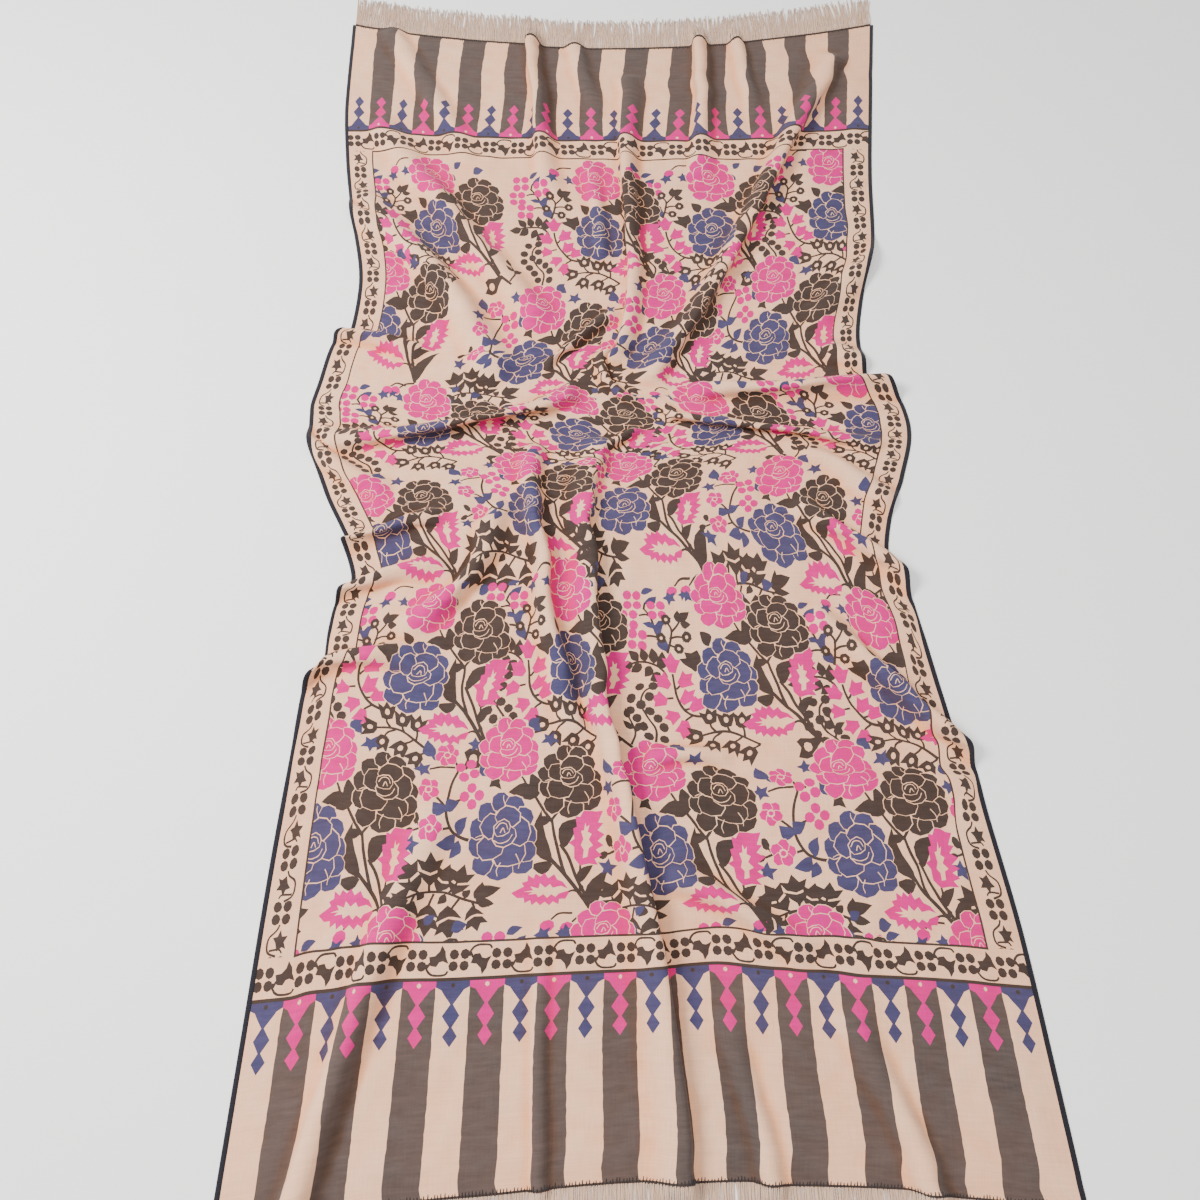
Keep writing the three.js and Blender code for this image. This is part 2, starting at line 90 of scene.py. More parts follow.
# Each fold: from, to, bulge and skew of its line, half of the cloth in it, its steepest slope,
# the shares of that slope at its start and end, and the lean to its left
FOLDS = {
    "up_right": (92, 232, 430, 945, 8, 0, 42, 84, 0.5, 0.7, -25),
    "up": (32, 930, 40, 285, -6, 0, 32, 74, 0.5, 0.8, -20),
    "up_left_high": (-450, 800, -130, 370, -10, 0, 44, 42, 0.4, 0.6, 0),
    "up_left_low": (-490, 640, -160, 262, -12, 0, 48, 50, 0.4, 0.6, 0),
    "crown": (2, 404, -100, 282, -16, 0, 24, 62, 0.6, 0.5, 6),
    "left_arm": (-30, 226, -490, 96, 34, 0, 42, 84, 0.6, 0.45, 25),
    "left_edge": (-560, 150, -390, -50, 10, 0, 32, 50, 1, 0.3, 0),
    "right_arm": (160, 226, 545, 192, -4, 0, 40, 72, 0.6, 1.1, 4),
    "right_crease": (92, 156, 460, 44, -10, 0, 32, 82, 0.8, 0.4, -25),
    "hook": (4, 328, 60, 176, -10, 0, 20, 64, 0.8, 0.7, 8),
    "down": (-14, 96, 30, -1050, -44, -24, 44, 94, 0.4, 0.62, 30),
    "down_left": (-128, 60, -92, -470, -50, 0, 36, 80, 0.4, 0.5, 15),
    "diagonal": (52, 112, -40, 20, 0, 0, 22, 60, 0.8, 0.4, 0),
    "low_left": (-210, -110, -390, -330, 10, 0, 36, 66, 0.4, 0.4, 0),
    "side_a": (-540, -152, -320, -118, 4, 0, 30, 74, 1, 0.3, 12),
    "side_b": (-540, -256, -330, -200, 6, 0, 28, 72, 1, 0.3, 12),
    "side_c": (-540, -398, -340, -352, 4, 0, 30, 74, 1, 0.3, 12),
    "side_d": (545, -218, 310, -100, 8, 0, 34, 74, 1, 0.3, -8),
    "side_e": (510, -78, 310, 14, 4, 0, 30, 40, 1, 0.4, 0),
    "side_f": (545, -496, 300, -268, 6, 0, 34, 74, 1, 0.3, -8),
    "shelf": (44, -490, 172, -488, 12, 0, 22, 60, 0.5, 0.3, 0),
    "branch": (52, -630, 235, -752, 6, 0, 32, 54, 0.5, 0.4, 0),
    "near_left": (-272, -540, -412, -1050, -12, 0, 40, 54, 0.4, 1.1, 0),
    "near_ridge": (-138, -700, -127, -1050, 0, 0, 18, 50, 0.4, 1.1, 0),
    "near_right": (108, -800, 160, -1050, 4, 0, 26, 48, 0.4, 1.1, 0),
    "near_far_right": (256, -790, 348, -1050, 4, 0, 32, 50, 0.4, 1.1, 0),
    "far_left": (-168, 1050, -124, 630, 8, 0, 34, 76, 1.05, 0.3, -15),
    "far_middle": (150, 1050, 156, 660, 16, 0, 32, 70, 1.05, 0.3, -12),
    "far_right": (228, 1050, 270, 790, 4, 0, 24, 50, 1.05, 0.3, 0),
    "far_slant": (-440, 1010, -262, 690, 6, 0, 34, 34, 1, 0.4, 0),
    "far_soft": (-84, 1050, -30, 800, 4, 0, 26, 38, 1.1, 0.3, 0),
    "far_short": (-48, 720, -36, 500, -4, 0, 24, 36, 0.5, 1, 0),
    "side_g": (-545, 600, -400, 520, 4, 0, 38, 34, 1.1, 0.4, 0),
    "side_h": (-545, 318, -330, 306, 4, 0, 30, 74, 1.05, 0.3, 12),
    "side_i": (545, 530, 390, 358, 4, 0, 44, 34, 1.1, 0.4, 0),
    "side_j": (545, 262, 400, 330, 4, 0, 30, 38, 1.1, 0.4, 0),
}
GATHER_REACH = 220
JOIN_POWER = 3


def blend(low, high, share):
    return low + (high - low) * share


def smooth(share):
    return share * share * (3 - 2 * share)


def table_curve(table, column):
    """A curve through a table's rows that never swings past them."""
    rows = np.array(table, dtype=float)
    at, value = rows[:, 0], rows[:, column]
    rise = np.diff(value) / np.diff(at)
    slope = np.concatenate([rise[:1], np.zeros(len(at) - 2), rise[-1:]])
    product = rise[:-1] * rise[1:]
    same_way = product > 0
    slope[1:-1][same_way] = 2 * product[same_way] / (rise[:-1] + rise[1:])[same_way]

    def curve(place):
        i = np.clip(np.searchsorted(at, place) - 1, 0, len(at) - 2)
        gap = at[i + 1] - at[i]
        u = np.clip((place - at[i]) / gap, 0, 1)
        swing = gap * u * (1 - u) * ((1 - u) * slope[i] - u * slope[i + 1])
        return blend(value[i], value[i + 1], smooth(u)) + swing

    return curve


LEFT_X, LEFT_Y = table_curve(LEFT_SIDE, 1), table_curve(LEFT_SIDE, 2)
RIGHT_X, RIGHT_Y = table_curve(RIGHT_SIDE, 1), table_curve(RIGHT_SIDE, 2)
BOW_AT = table_curve(BOW, 1)


def folded(s, t):
    """What the folds do at places on the cut: the gathering, the lean and the height."""
    pull, lean = np.zeros(len(s), complex), np.zeros(len(s), complex)
    heights = np.zeros(len(s))
    for from_x, from_y, to_x, to_y, bulge, skew, half, steep, start, end, tilt in FOLDS.values():
        length = math.hypot(to_x - from_x, to_y - from_y)
        way = complex(to_x - from_x, to_y - from_y) / length
        place = (s - from_x + 1j * (t - from_y)) / way
        here = np.nonzero((place.real > 0) & (place.real < length))[0]
        along = place.real[here]
        a = along / length
        across = place.imag[here] - bulge * 4 * a * (1 - a) - skew * np.sin(TURN * a)
        fade = min(half, length / 4)
        ends = smooth(np.clip(np.minimum(along, length - along) / fade, 0, 1))
        first = blend(start, 1, smooth(np.clip(2 * a, 0, 1)))
        last = blend(1, end, smooth(np.clip(2 * a - 1, 0, 1)))
        q = (math.radians(steep) * np.where(a < 0.5, first, last) * ends) ** 2
        tau = np.clip(across / half, -1, 1)
        # The first terms of the series that keep a wave of cloth as long as its cut
        flat = 1 - q / 4 + q ** 2 / 64 - q ** 3 / 2304
        rise = np.sqrt(q) * (0.5 - q / 16 + q ** 2 / 384)
        tuck = q / 8 - q ** 2 / 96 + q ** 3 / 3072
        beyond = np.maximum(0, np.abs(across) - half) / GATHER_REACH
        drawn = half * (flat * tau + tuck / math.pi * np.sin(TURN * tau) - tau) / (1 + beyond ** 2)
        height = half * 2 * rise / math.pi * (1 + np.cos(math.pi * tau))
        pull[here] += drawn * 1j * way
        lean[here] += height * math.sin(math.radians(tilt)) * 1j * way
        heights[here] += (height * math.cos(math.radians(tilt))) ** JOIN_POWER
    return pull, lean, heights ** (1 / JOIN_POWER)


SIDE_PLACES = np.arange(-HALF_LENGTH, HALF_LENGTH + 1.0)
SIDE_PULLS = {side: folded(np.full(len(SIDE_PLACES), float(side)), SIDE_PLACES)[0]
              for side in (-HALF_WIDTH, HALF_WIDTH)}

# Low rolls in the wool between the folds: size across and along, turn, and height
ROLLS = ((150, 210, 20, 1.1), (96, 130, -35, 0.8), (60, 84, 60, 0.5), (37, 52, -10, 0.3))
ROLL_SWING = 0.9
ROLL_LAG = 2.1
ROLL_FREE_EDGE = 40


def rolls(s, t):
    """A low uneven swell, never below the floor."""
    height = np.zeros(len(s))
    for wide, long, turn, tall in ROLLS:
        place = (s + 1j * t) * np.exp(1j * math.radians(turn))
        bend = ROLL_SWING * np.sin(place.imag / long * ROLL_LAG + turn)
        wave = np.sin(TURN * place.real / wide + bend) * np.sin(TURN * place.imag / long - bend)
        height += tall * (1 + wave)
    return height


def laid(s, t):
    """Where places on the cut cloth lie, in millimetres above and across the floor."""
    pull, lean, height = folded(s, t)
    left, right = (np.interp(t, SIDE_PLACES, SIDE_PULLS[side]) for side in (-HALF_WIDTH, HALF_WIDTH))
    share = (s + HALF_WIDTH) / (2 * HALF_WIDTH)
    start = left.real - HALF_WIDTH
    gathered = (s + pull.real - start) / (HALF_WIDTH + right.real - start)
    x = blend(LEFT_X(t), RIGHT_X(t), gathered) + lean.real
    y = (blend(LEFT_Y(t), RIGHT_Y(t), share) + BOW_AT(t) * 4 * share * (1 - share) +
         pull.imag - blend(left.imag, right.imag, share) + lean.imag)
    edge = np.minimum(HALF_WIDTH - np.abs(s), HALF_LENGTH - np.abs(t))
    z = height + rolls(s, t) * smooth(np.clip(edge / ROLL_FREE_EDGE, 0, 1))
    return np.stack([x + ORIGIN[0], y + ORIGIN[1], z], axis=1)


def surface(places):
    """Places, normals and the way across the cloth, for complex places on the cut."""
    s, t = places.real, places.imag
    step = 0.5
    across = laid(s + step, t) - laid(s - step, t)
    along = laid(s, t + step) - laid(s, t - step)
    normal = np.cross(across, along)
    normal /= np.linalg.norm(normal, axis=1)[:, None]
    across /= np.linalg.norm(across, axis=1)[:, None]
    return laid(s, t), normal, across


# The pattern is charted as outlines on the cut, each over those before it.
# An outline is an array of complex numbers, across plus 1j times along.
shapes = []
# Steps to which corners are rounded, in millimetres
LOOM_STEP = 0.8
PETAL_STEP = 0.6
BORDER_STEP = 0.5
SMALL_STEP = 0.4
STEM_STEP = 0.3
STRAIGHT_STEP = 0.1


def weave(outline, yarn, step=LOOM_STEP):
    """Adds an outline, its corners on the steps of the loom."""
    outline = np.asarray(outline, complex) / step
    shapes.append(((np.rint(outline.real) + 1j * np.rint(outline.imag)) * step, yarn))


def places(*spots):
    return np.array(spots, complex)


def block(left, right, low, high):
    return places(left + 1j * low, right + 1j * low, right + 1j * high, left + 1j * high)


def turned(degrees):
    return np.exp(1j * math.radians(degrees))


def oval(centre, wide, long, turn=0.0, count=10):
    angle = (np.arange(count) + 0.5) * TURN / count
    return centre + (wide * np.cos(angle) + 1j * long * np.sin(angle)) * turned(turn)


def leaf(base, tip, width, bend):
    """A pointed leaf from base to tip, bulging to its left by bend."""
    share = np.linspace(0, 1, 7)
    side = 1j * (tip - base) / abs(tip - base)
    spine = base + (tip - base) * share + side * bend * np.sin(math.pi * share)
    half = 0.5 * width * np.sin(math.pi * share ** 0.8)
    return np.concatenate([spine - side * half, (spine + side * half)[-2:0:-1]])


def stem(path, width, end_width):
    """A line of yarn through the places of path."""
    path = np.asarray(path, complex)
    count = 4 * (len(path) - 1) + 1
    at = np.linspace(0, len(path) - 1, count)
    way = np.gradient(path)
    i = np.minimum(at.astype(int), len(path) - 2)
    u = at - i
    spine = (blend(path[i], path[i + 1], smooth(u)) +
             u * (1 - u) * ((1 - u) * way[i] - u * way[i + 1]))
    side = 1j * np.gradient(spine)
    side /= np.abs(side)
    half = 0.5 * np.linspace(width, end_width, count)
    return np.concatenate([spine - side * half, (spine + side * half)[::-1]])


def star(centre, size, turn=0.0, tips=5):
    """A ragged leaf of several tips."""
    reach = np.array([1, 0.42, 0.86, 0.5, 1.05, 0.4, 0.78, 0.46, 0.95, 0.5, 0.9, 0.44])[:2 * tips]
    angle = np.arange(2 * tips) * 180 / tips
    return centre + size * reach * np.exp(1j * np.radians(angle + turn))


# The petals of a rose of this size: place, then half width and half length
ROSE_WIDTH = 80
ROSE_LENGTH = 105
ROSE_PETALS = (
    (18, -37, 17, 13), (-9, -40, 17, 12), (-29, -27, 13, 14), (-34, -5, 10, 13), (-30, 15, 11, 13),
    (-17, 31, 12, 13), (2, 40, 12, 12), (19, 31, 13, 13), (30, 15, 11, 13), (33, -7, 9, 13),
    (27, -24, 13, 12), (6, -22, 22, 15), (-16, -9, 18, 15), (21, 1, 14, 17), (-13, 14, 14, 14),
    (9, 20, 16, 13), (2, -1, 15, 12), (0, 9, 11, 9),
)
ROSE_CREASES = (
    (-8+10j, -2+15j, 5+13j, 7+6j), (-3+4j, 1+9j, 3+3j), (-12-3j, -4-8j, 6-7j, 12-1j),
    (14-24j, 17-34j, 15-42j), (-20+2j, -26+6j, -34+5j), (8+34j, 6+42j, 7+47j), (-6-30j, -12-38j, -12-46j),
)
PETAL_LINE = 1.0
PETAL_TILT = 14
PETAL_NOTCH = 0.05
PETAL_CORNERS = 9


def rose(centre, width, length, turn, yarn):
    wide, long = width / ROSE_WIDTH, length / ROSE_LENGTH
    swing = turned(turn)
    for k, (x, y, half_width, half_length) in enumerate(ROSE_PETALS):
        middle = centre + complex(x * wide, y * long) * swing
        tilt = turn + PETAL_TILT * math.sin(5 * k + width)
        for line, thread in ((PETAL_LINE, "cream"), (0, yarn)):
            petal = oval(middle, half_width * wide + line, half_length * long + line, tilt, PETAL_CORNERS)
            notch = 1 + PETAL_NOTCH * np.sin(3.1 * np.arange(PETAL_CORNERS) + k)
            weave(middle + (petal - middle) * notch, thread, PETAL_STEP)
    for crease in ROSE_CREASES:
        crease = places(*crease)
        line = (crease.real * wide + 1j * crease.imag * long) * swing
        weave(stem(centre + line, 1.2, 0.8), "cream", STEM_STEP)


CORNERS = (1 + 1j, 1 - 1j, -1 + 1j, -1 - 1j)


def floret(centre, size, petals, turn):
    """A small open flower with pale lines between its petals and round its heart."""
    for k in range(petals):
        way = turned(turn + 360 * k / petals)
        for line, thread in ((0.8, "cream"), (0, "pink")):
            weave(oval(centre + 0.56 * size * way, 0.5 * size + line, 0.46 * size + line,
                       turn + 360 * k / petals, 7), thread, SMALL_STEP)
    weave(oval(centre, 0.36 * size, 0.34 * size, 0, 7), "cream", SMALL_STEP)
    weave(oval(centre, 0.24 * size, 0.22 * size, 0, 6), "pink", SMALL_STEP)


def four_petals(centre, size, turn):
    """Four square petals parted by a pale cross."""
    for way in CORNERS:
        weave(centre + oval(0.5 * size * way, 0.48 * size, 0.48 * size, 22.5, 8) * turned(turn), "pink",
              SMALL_STEP)


def open_bud(centre, size, turn):
    """A dark bud with a pale heart, its tips pointing away from its stem."""
    ring = places(-0.2-1j, 0.7-0.8j, 1+0j, 1.3+1.2j, 0.5+0.7j, 0+1.5j, -0.5+0.7j, -1.3+1.2j, -1+0j,
                  -0.8-0.7j)
    weave(centre + size * ring * turned(turn), "charcoal")
    weave(oval(centre + 0.05j * size * turned(turn), 0.34 * size, 0.42 * size, turn, 8), "cream", SMALL_STEP)


def cup_leaf(centre, size, turn):
    """A small dark leaf of three tips on a split cup."""
    crown = places(0-0.3j, 0.8+0j, 1.2+0.9j, 0.5+0.7j, 0+1.5j, -0.5+0.7j, -1.2+0.9j, -0.8+0j)
    cup = places(0-1.5j, 0.7-0.9j, 1.1-0.1j, 0.4-0.4j, 0-0.5j, -0.4-0.4j, -1.1-0.1j, -0.6-0.9j)
    for part in (crown, cup):
        weave(centre + size * part * turned(turn), "charcoal")


UPRIGHT_FLAME = places(
    101-35j, 112-33j, 124-34j, 119-27j, 129-23j, 121-17j, 131-12j, 123-7j, 133+0j, 123+5j, 131+13j,
    124+14j, 131+27j, 121+26j, 114+27j, 109+35j, 103+26j, 99+20j, 93+22j, 95+9j, 90+7j, 92-5j, 85-9j,
    92-14j, 93-26j,
)
UPRIGHT_HEART = places(
    104-26j, 110-25j, 111-15j, 117-12j, 111-6j, 115+1j, 110+3j, 112+11j, 108+8j, 106+14j, 105+5j, 101+4j,
    104-5j, 101-12j, 105-17j,
)
LYING_FLAME = places(
    17-70j, 25-77j, 33-77j, 34-84j, 41-80j, 43-87j, 49-82j, 54-88j, 59-83j, 65-89j, 69-83j, 76-87j,
    77-79j, 84-80j, 88-71j, 86-64j, 80-56j, 73-53j, 69-46j, 62-50j, 57-43j, 52-48j, 46-44j, 43-50j,
    36-46j, 36-54j, 29-56j, 32-61j, 25-65j,
)
LYING_HEART = places(
    90-67j, 76-72j, 72-77j, 66-73j, 62-78j, 57-72j, 50-76j, 48-71j, 38-72j, 44-69j, 32-68j, 44-66j,
    40-61j, 50-64j, 52-57j, 58-63j, 64-58j, 68-64j, 78-62j,
)


STEM_EXTRA = 1.1
STEM_TIP = 0.9
LEAF_WIDER = 1.2


def draw(at, *stems):
    """Charcoal stems, each as its width and its places."""
    for width, *path in stems:
        line = stem(places(*path), width + STEM_EXTRA, 0.8 * width + STEM_TIP)
        weave(at + line, "charcoal", STEM_STEP)


def leaves(at, yarn, *rows):
    """Leaves of one yarn, each as its base, tip, width and bulge."""
    for base_x, base_y, tip_x, tip_y, width, bend in rows:
        weave(at + leaf(complex(base_x, base_y), complex(tip_x, tip_y), LEAF_WIDER * width, bend), yarn)


def trunk(at):
    """The forked dark stem below three roses, with its leaves."""
    leaves(at, "charcoal", (66, -32, 48, 30, 18, 12), (66, -33, 38, -34, 14, 4),
           (76, -16, 104, 18, 18, 9), (98, -58, 118, -34, 11, 3), (88, -72, 68, -72, 10, 2),
           (60, 16, 44, 22, 9, 2), (72, 30, 90, 30, 8, 2), (40, 44, 2, 50, 17, -6),
           (40, 43, 33, 78, 15, -2), (104, -60, 100, -72, 6, 1))
    draw(at, (4.4, 119-99j, 97-66j, 78-42j, 58-22j, 33-4j), (3.4, 82-46j, 74-24j, 66+0j, 62+19j),
         (3.6, 116-88j, 98-54j, 86-26j, 74-10j), (3.2, 62+16j, 50+30j, 38+46j),
         (2.6, 62+18j, 70+28j, 74+36j), (2.4, 38+46j, 28+58j, 20+72j), (2.4, 104-73j, 94-68j, 86-70j),
         (2.4, 98-48j, 101-42j, 101-34j))


def first_foot(at):
    """The foot of the stem with a broad upright leaf and a low pink bud."""
    leaves(at, "charcoal", (118, -98, 139, -38, 18, 9), (119, -96, 112, -62, 9, 3))
    draw(at, (2.2, 118-100j, 104-103j, 94-112j))
    weave(oval(at + 88 - 119j, 9, 8, 20, 8), "pink")
    weave(star(at + 84 - 126j, 10, 250), "blue")


def second_foot(at):
    """The foot of the stem with an open dark flower and a leafy shoot."""
    draw(at, (4, 117-92j, 128-102j, 137-110j), (2.2, 134-104j, 142-84j, 134-62j))
    leaves(at, "charcoal", (141, -84, 156, -72, 8, 2), (140, -80, 126, -68, 7, 1),
           (135, -66, 130, -50, 8, 1))
    weave(at + places(118-90j, 106-94j, 92-92j, 85-98j, 90-108j, 86-120j, 98-122j, 108-119j, 112-108j,
                      118-100j), "charcoal")
    weave(oval(at + 99 - 107j, 5.5, 7, 20, 8), "cream")


def floret_branch(at):
    """The bent stem to the left of a blue rose, with pink florets and blue leaves."""
    draw(at, (3, -40-6j, -54-2j, -67+6j, -76+26j, -74+56j, -66+78j), (2.4, -66+78j, -70+92j, -82+98j),
         (2.4, -66+80j, -58+84j, -54+82j), (2.2, -76+30j, -90+42j, -102+50j),
         (2.2, -74+36j, -58+42j, -48+46j), (2.2, -68+8j, -84+5j, -94+6j),
         (2.2, -70+84j, -90+83j, -104+79j), (2, -98+2j, -108+8j, -114+14j),
         (2, -106+6j, -114+3j, -120+2j))
    weave(at + oval(-115 + 17j, 5, 7.5, 20, 8), "charcoal")
    weave(at + oval(-123 + 1j, 6.5, 4.5, 20, 8), "charcoal")
    leaves(at, "blue", (-76, 26, -95, 37, 14, 4), (-76, 26, -61, 39, 13, 4), (-56, -1, -48, 22, 12, 4),
           (-60, 0, -84, -12, 14, 5), (-55, -6, -65, -26, 11, 3), (-20, 72, -36, 92, 13, 3),
           (-100, 97, -112, 120, 15, 4), (-104, 99, -88, 90, 9, 2))
    weave(star(at - 113 + 78j, 13, 40), "blue")
    weave(star(at - 117 - 14j, 14, 10), "blue")
    weave(star(at - 15 + 64j, 13, 130, 4), "charcoal")
    four_petals(at - 53 + 80j, 15, 20)
    four_petals(at - 45 + 46j, 14, 50)
    floret(at - 94 + 6j, 15.5, 5, 10)
    floret(at - 103 + 52j, 14.5, 5, 50)
    floret(at - 83 + 101j, 15.5, 6, 20)


def square_floret_branch(at):
    """A stem of four-petalled pink flowers with broad blue leaves."""
    draw(at, (2.8, -84+34j, -92+48j, -100+60j, -106+78j, -116+92j),
         (2.4, -116+90j, -112+102j, -100+110j), (2.4, -102+78j, -112+82j, -124+80j),
         (2.4, -94+52j, -106+54j, -118+52j))
    weave(at + places(-119+70j, -108+73j, -100+69j, -94+75j, -80+76j, -89+68j, -91+60j, -88+50j, -98+55j,
                      -104+64j, -112+65j), "blue")
    leaves(at, "blue", (-86, 34, -90, 58, 14, 3), (-113, 100, -94, 112, 10, -2), (-118, 114, -99, 122, 9, 2))
    for x, y, turn in ((-133, 104, 0), (-96, 91, 5), (-140, 74, 0), (-128, 47, -5)):
        four_petals(at + complex(x, y), 15, turn)


def open_flower_branch(at):
    """Small dark flowers with pale hearts on an upright forked stem."""
    draw(at, (2.6, -84+32j, -79+48j, -76+64j, -80+72j), (2.2, -80+52j, -70+56j, -60+56j),
         (2.2, -76+62j, -68+70j, -62+78j), (2.2, -82+44j, -74+42j, -68+41j))
    for x, y, size in ((-83, 78, 9.5), (-54, 56, 9.5), (-67, 40, 9), (-92, 52, 9)):
        weave(star(at + complex(x, y), size, 7 * x, 6), "charcoal")
        weave(oval(at + complex(x, y), 0.82 * size, 0.8 * size, 0, 8), "charcoal", SMALL_STEP)
        weave(oval(at + complex(x, y), 0.26 * size, 0.26 * size, 0, 6), "cream", SMALL_STEP)
    leaves(at, "charcoal", (-64, 76, -46, 90, 11, 2), (-64, 74, -64, 94, 10, 1), (-62, 74, -46, 72, 9, -1))


def fern(at):
    """A drooping stem with a row of dark leaves on each side."""
    draw(at, (2.6, -88-2j, -94+8j, -106+15j, -128+16j, -150+8j))
    leaves(at, "charcoal", (-98, 8, -92, 34, 13, -2), (-106, 16, -107, 38, 12, -1),
           (-118, 17, -124, 36, 11, -1), (-128, 17, -142, 31, 11, -1), (-136, 14, -157, 8, 11, 2),
           (-124, 14, -140, 0, 11, 1), (-110, 12, -120, -5, 11, 1), (-98, 4, -112, -9, 12, 2))


def bellflower_branch(at):
    """A bent stem with pink bells on both sides."""
    draw(at, (2.8, -26-56j, -48-52j, -62-42j, -72-26j, -78-8j, -80+4j), (2.2, -48-51j, -58-58j, -62-64j),
         (2.2, -76-30j, -86-32j), (2.2, -60-44j, -52-42j), (2.2, -74-16j, -66-6j))
    for x, y, size, turn in (
            (-80, 18, 12, 0), (-62, -3, 11, -50), (-93, -8, 11, 60), (-57, -27, 11, -40),
            (-94, -34, 10, 80), (-44, -38, 10, -50), (-76, -54, 10, 110), (-62, -70, 11, 170)
    ):
        bell = places(-0.4-1j, 0.4-1j, 0.7-0.3j, 1.15+0.6j, 0.5+0.6j, 0+1.4j, -0.5+0.6j, -1.15+0.6j,
                      -0.7-0.3j)
        weave(at + complex(x, y) + size * bell * turned(turn), "pink")


def berry_branch(at):
    """Dark berries in pairs up a thin stem."""
    draw(at, (2.4, -104-98j, -101-76j, -111-61j, -120-44j, -117-27j, -108-17j))
    for x, y in (
            (-125, -19), (-107, -16), (-134, -36), (-109, -32), (-120, -44), (-135, -52), (-108, -51),
            (-126, -63), (-97, -60), (-118, -74), (-90, -71), (-112, -87), (-91, -88)
    ):
        weave(oval(at + complex(x, y), 7, 6.5, 20, 8), "charcoal")


def bud_branch(at):
    """Open dark buds on curling stems."""
    draw(at, (2.8, 37-100j, 18-88j, 0-79j, -18-77j, -38-80j), (2.2, 18-88j, 18-78j, 15-70j),
         (2.2, 0-79j, -3-74j, -5-68j), (2.2, -12-78j, -22-84j, -26-92j), (2.2, 14-87j, 8-92j, 0-96j),
         (2.2, 36-100j, 30-104j, 24-106j), (2.2, -20-76j, -26-70j, -27-62j))
    for x, y, turn in (
            (-27, -57, 10), (-5, -63, 0), (16, -65, -10), (-47, -81, 90), (-27, -98, 160),
            (-1, -102, 150), (21, -112, 140)
    ):
        open_bud(at + complex(x, y), 10, turn)


def dark_sprig(at):
    """Large split leaves on a branch between two rows of roses."""
    draw(at, (2.8, -8-86j, -38-78j, -66-68j, -96-70j, -120-82j), (2.4, -60-69j, -54-60j, -51-54j),
         (2.4, -84-68j, -86-58j, -86-48j), (2.4, -98-70j, -108-62j, -111-54j),
         (2.4, -102-72j, -106-84j, -106-92j), (2.4, -78-70j, -82-84j, -82-94j),
         (2.4, -46-76j, -54-90j, -55-98j), (2.4, -30-80j, -26-90j, -26-98j))
    for x, y, turn, size in (
            (-112, -50, 30, 13), (-87, -40, 5, 12), (-68, -50, -20, 11), (-49, -52, -15, 12),
            (-128, -87, 110, 12), (-107, -100, 165, 12), (-82, -104, 180, 12), (-55, -107, 190, 13),
            (-24, -103, 200, 10)
    ):
        cup_leaf(at + complex(x, y), 1.15 * size, turn)
    leaves(at, "charcoal", (-64, -70, -72, -84, 9, 2), (-90, -70, -98, -80, 9, -2),
           (-40, -76, -34, -64, 9, 2), (-28, -76, 4, -62, 14, 3), (-26, -77, -2, -84, 11, -2),
           (-28, -76, -20, -54, 12, -3))


def roses(at):
    """The three roses of one repeat, with the two flame leaves beside their stem."""
    trunk(at)
    for outline, heart in ((UPRIGHT_FLAME, UPRIGHT_HEART), (LYING_FLAME, LYING_HEART)):
        weave(at + outline, "pink")
        weave(at + heart, "cream")
    rose(at, 80, 104, 12, "blue")
    rose(at + 86 + 69j, 82, 98, 14, "charcoal")
    rose(at + 1 + 110j, 76, 92, 18, "pink")


def first_sprigs(at):
    """The small growth of every other row, placed by the middle of its blue rose."""
    first_foot(at)
    dark_sprig(at)
    floret_branch(at)
    leaves(at, "blue", (24, 146, 44, 136, 12, 3), (24, 146, 40, 154, 10, -2))
    weave(star(at + 58 + 124j, 14, 60), "blue")
    weave(star(at - 46 + 117j, 12, 170), "blue")


def second_sprigs(at):
    """The small growth of the rows between."""
    second_foot(at)
    square_floret_branch(at)
    open_flower_branch(at)
    fern(at)
    bellflower_branch(at)
    berry_branch(at)
    bud_branch(at)
    leaves(at, "charcoal", (-22, 40, -34, 62, 13, -3))
    weave(at + places(-36+14j, -46+8j, -52+14j, -62+20j, -68+26j, -58+28j, -60+36j, -50+34j, -40+38j,
                      -36+28j), "charcoal")
    weave(star(at - 46 + 114j, 11, 170), "blue")
    leaves(at, "blue", (46, 110, 28, 124, 12, 2), (78, 124, 96, 132, 13, 3), (44, 132, 56, 144, 10, 2))
    draw(at, (2, -40+138j, -56+138j, -66+130j))
    weave(oval(at - 70 + 122j, 9, 8, 10, 8), "pink")
    weave(star(at - 74 + 112j, 12, 260), "blue")


# The middles of the blue roses on the cut, across and along, row by row from the far end
ROSE_ROWS = (
    (second_sprigs, (-338+558j, -42+560j, 176+566j, 424+578j)),
    (first_sprigs, (-448+350j, -144+308j, 94+326j, 322+348j, 566+348j)),
    (second_sprigs, (-304+106j, -56+80j, 173+84j, 430+100j)),
    (first_sprigs, (-434-144j, -172-132j, 32-122j, 290-164j, 548-160j)),
    (second_sprigs, (-342-384j, -104-362j, 168-364j, 410-388j)),
    (first_sprigs, (-442-612j, -196-588j, 58-612j, 308-615j, 558-615j)),
    (second_sprigs, (-324-830j, -62-826j, 238-830j, 442-830j)),
)


BORDER_FLORET = 13
SIDE_MIDDLE = 23
SIDE_PITCH = 56
SIDE_REPEATS = 13
END_PITCH = 50
END_SHIFT = 17
END_REPEATS = 10
LINE = 2.6


def border_floret(centre):
    size = BORDER_FLORET
    for way in CORNERS:
        weave(oval(centre + 0.5 * size * way, 0.44 * size, 0.46 * size, 22.5, 8), "charcoal", SMALL_STEP)


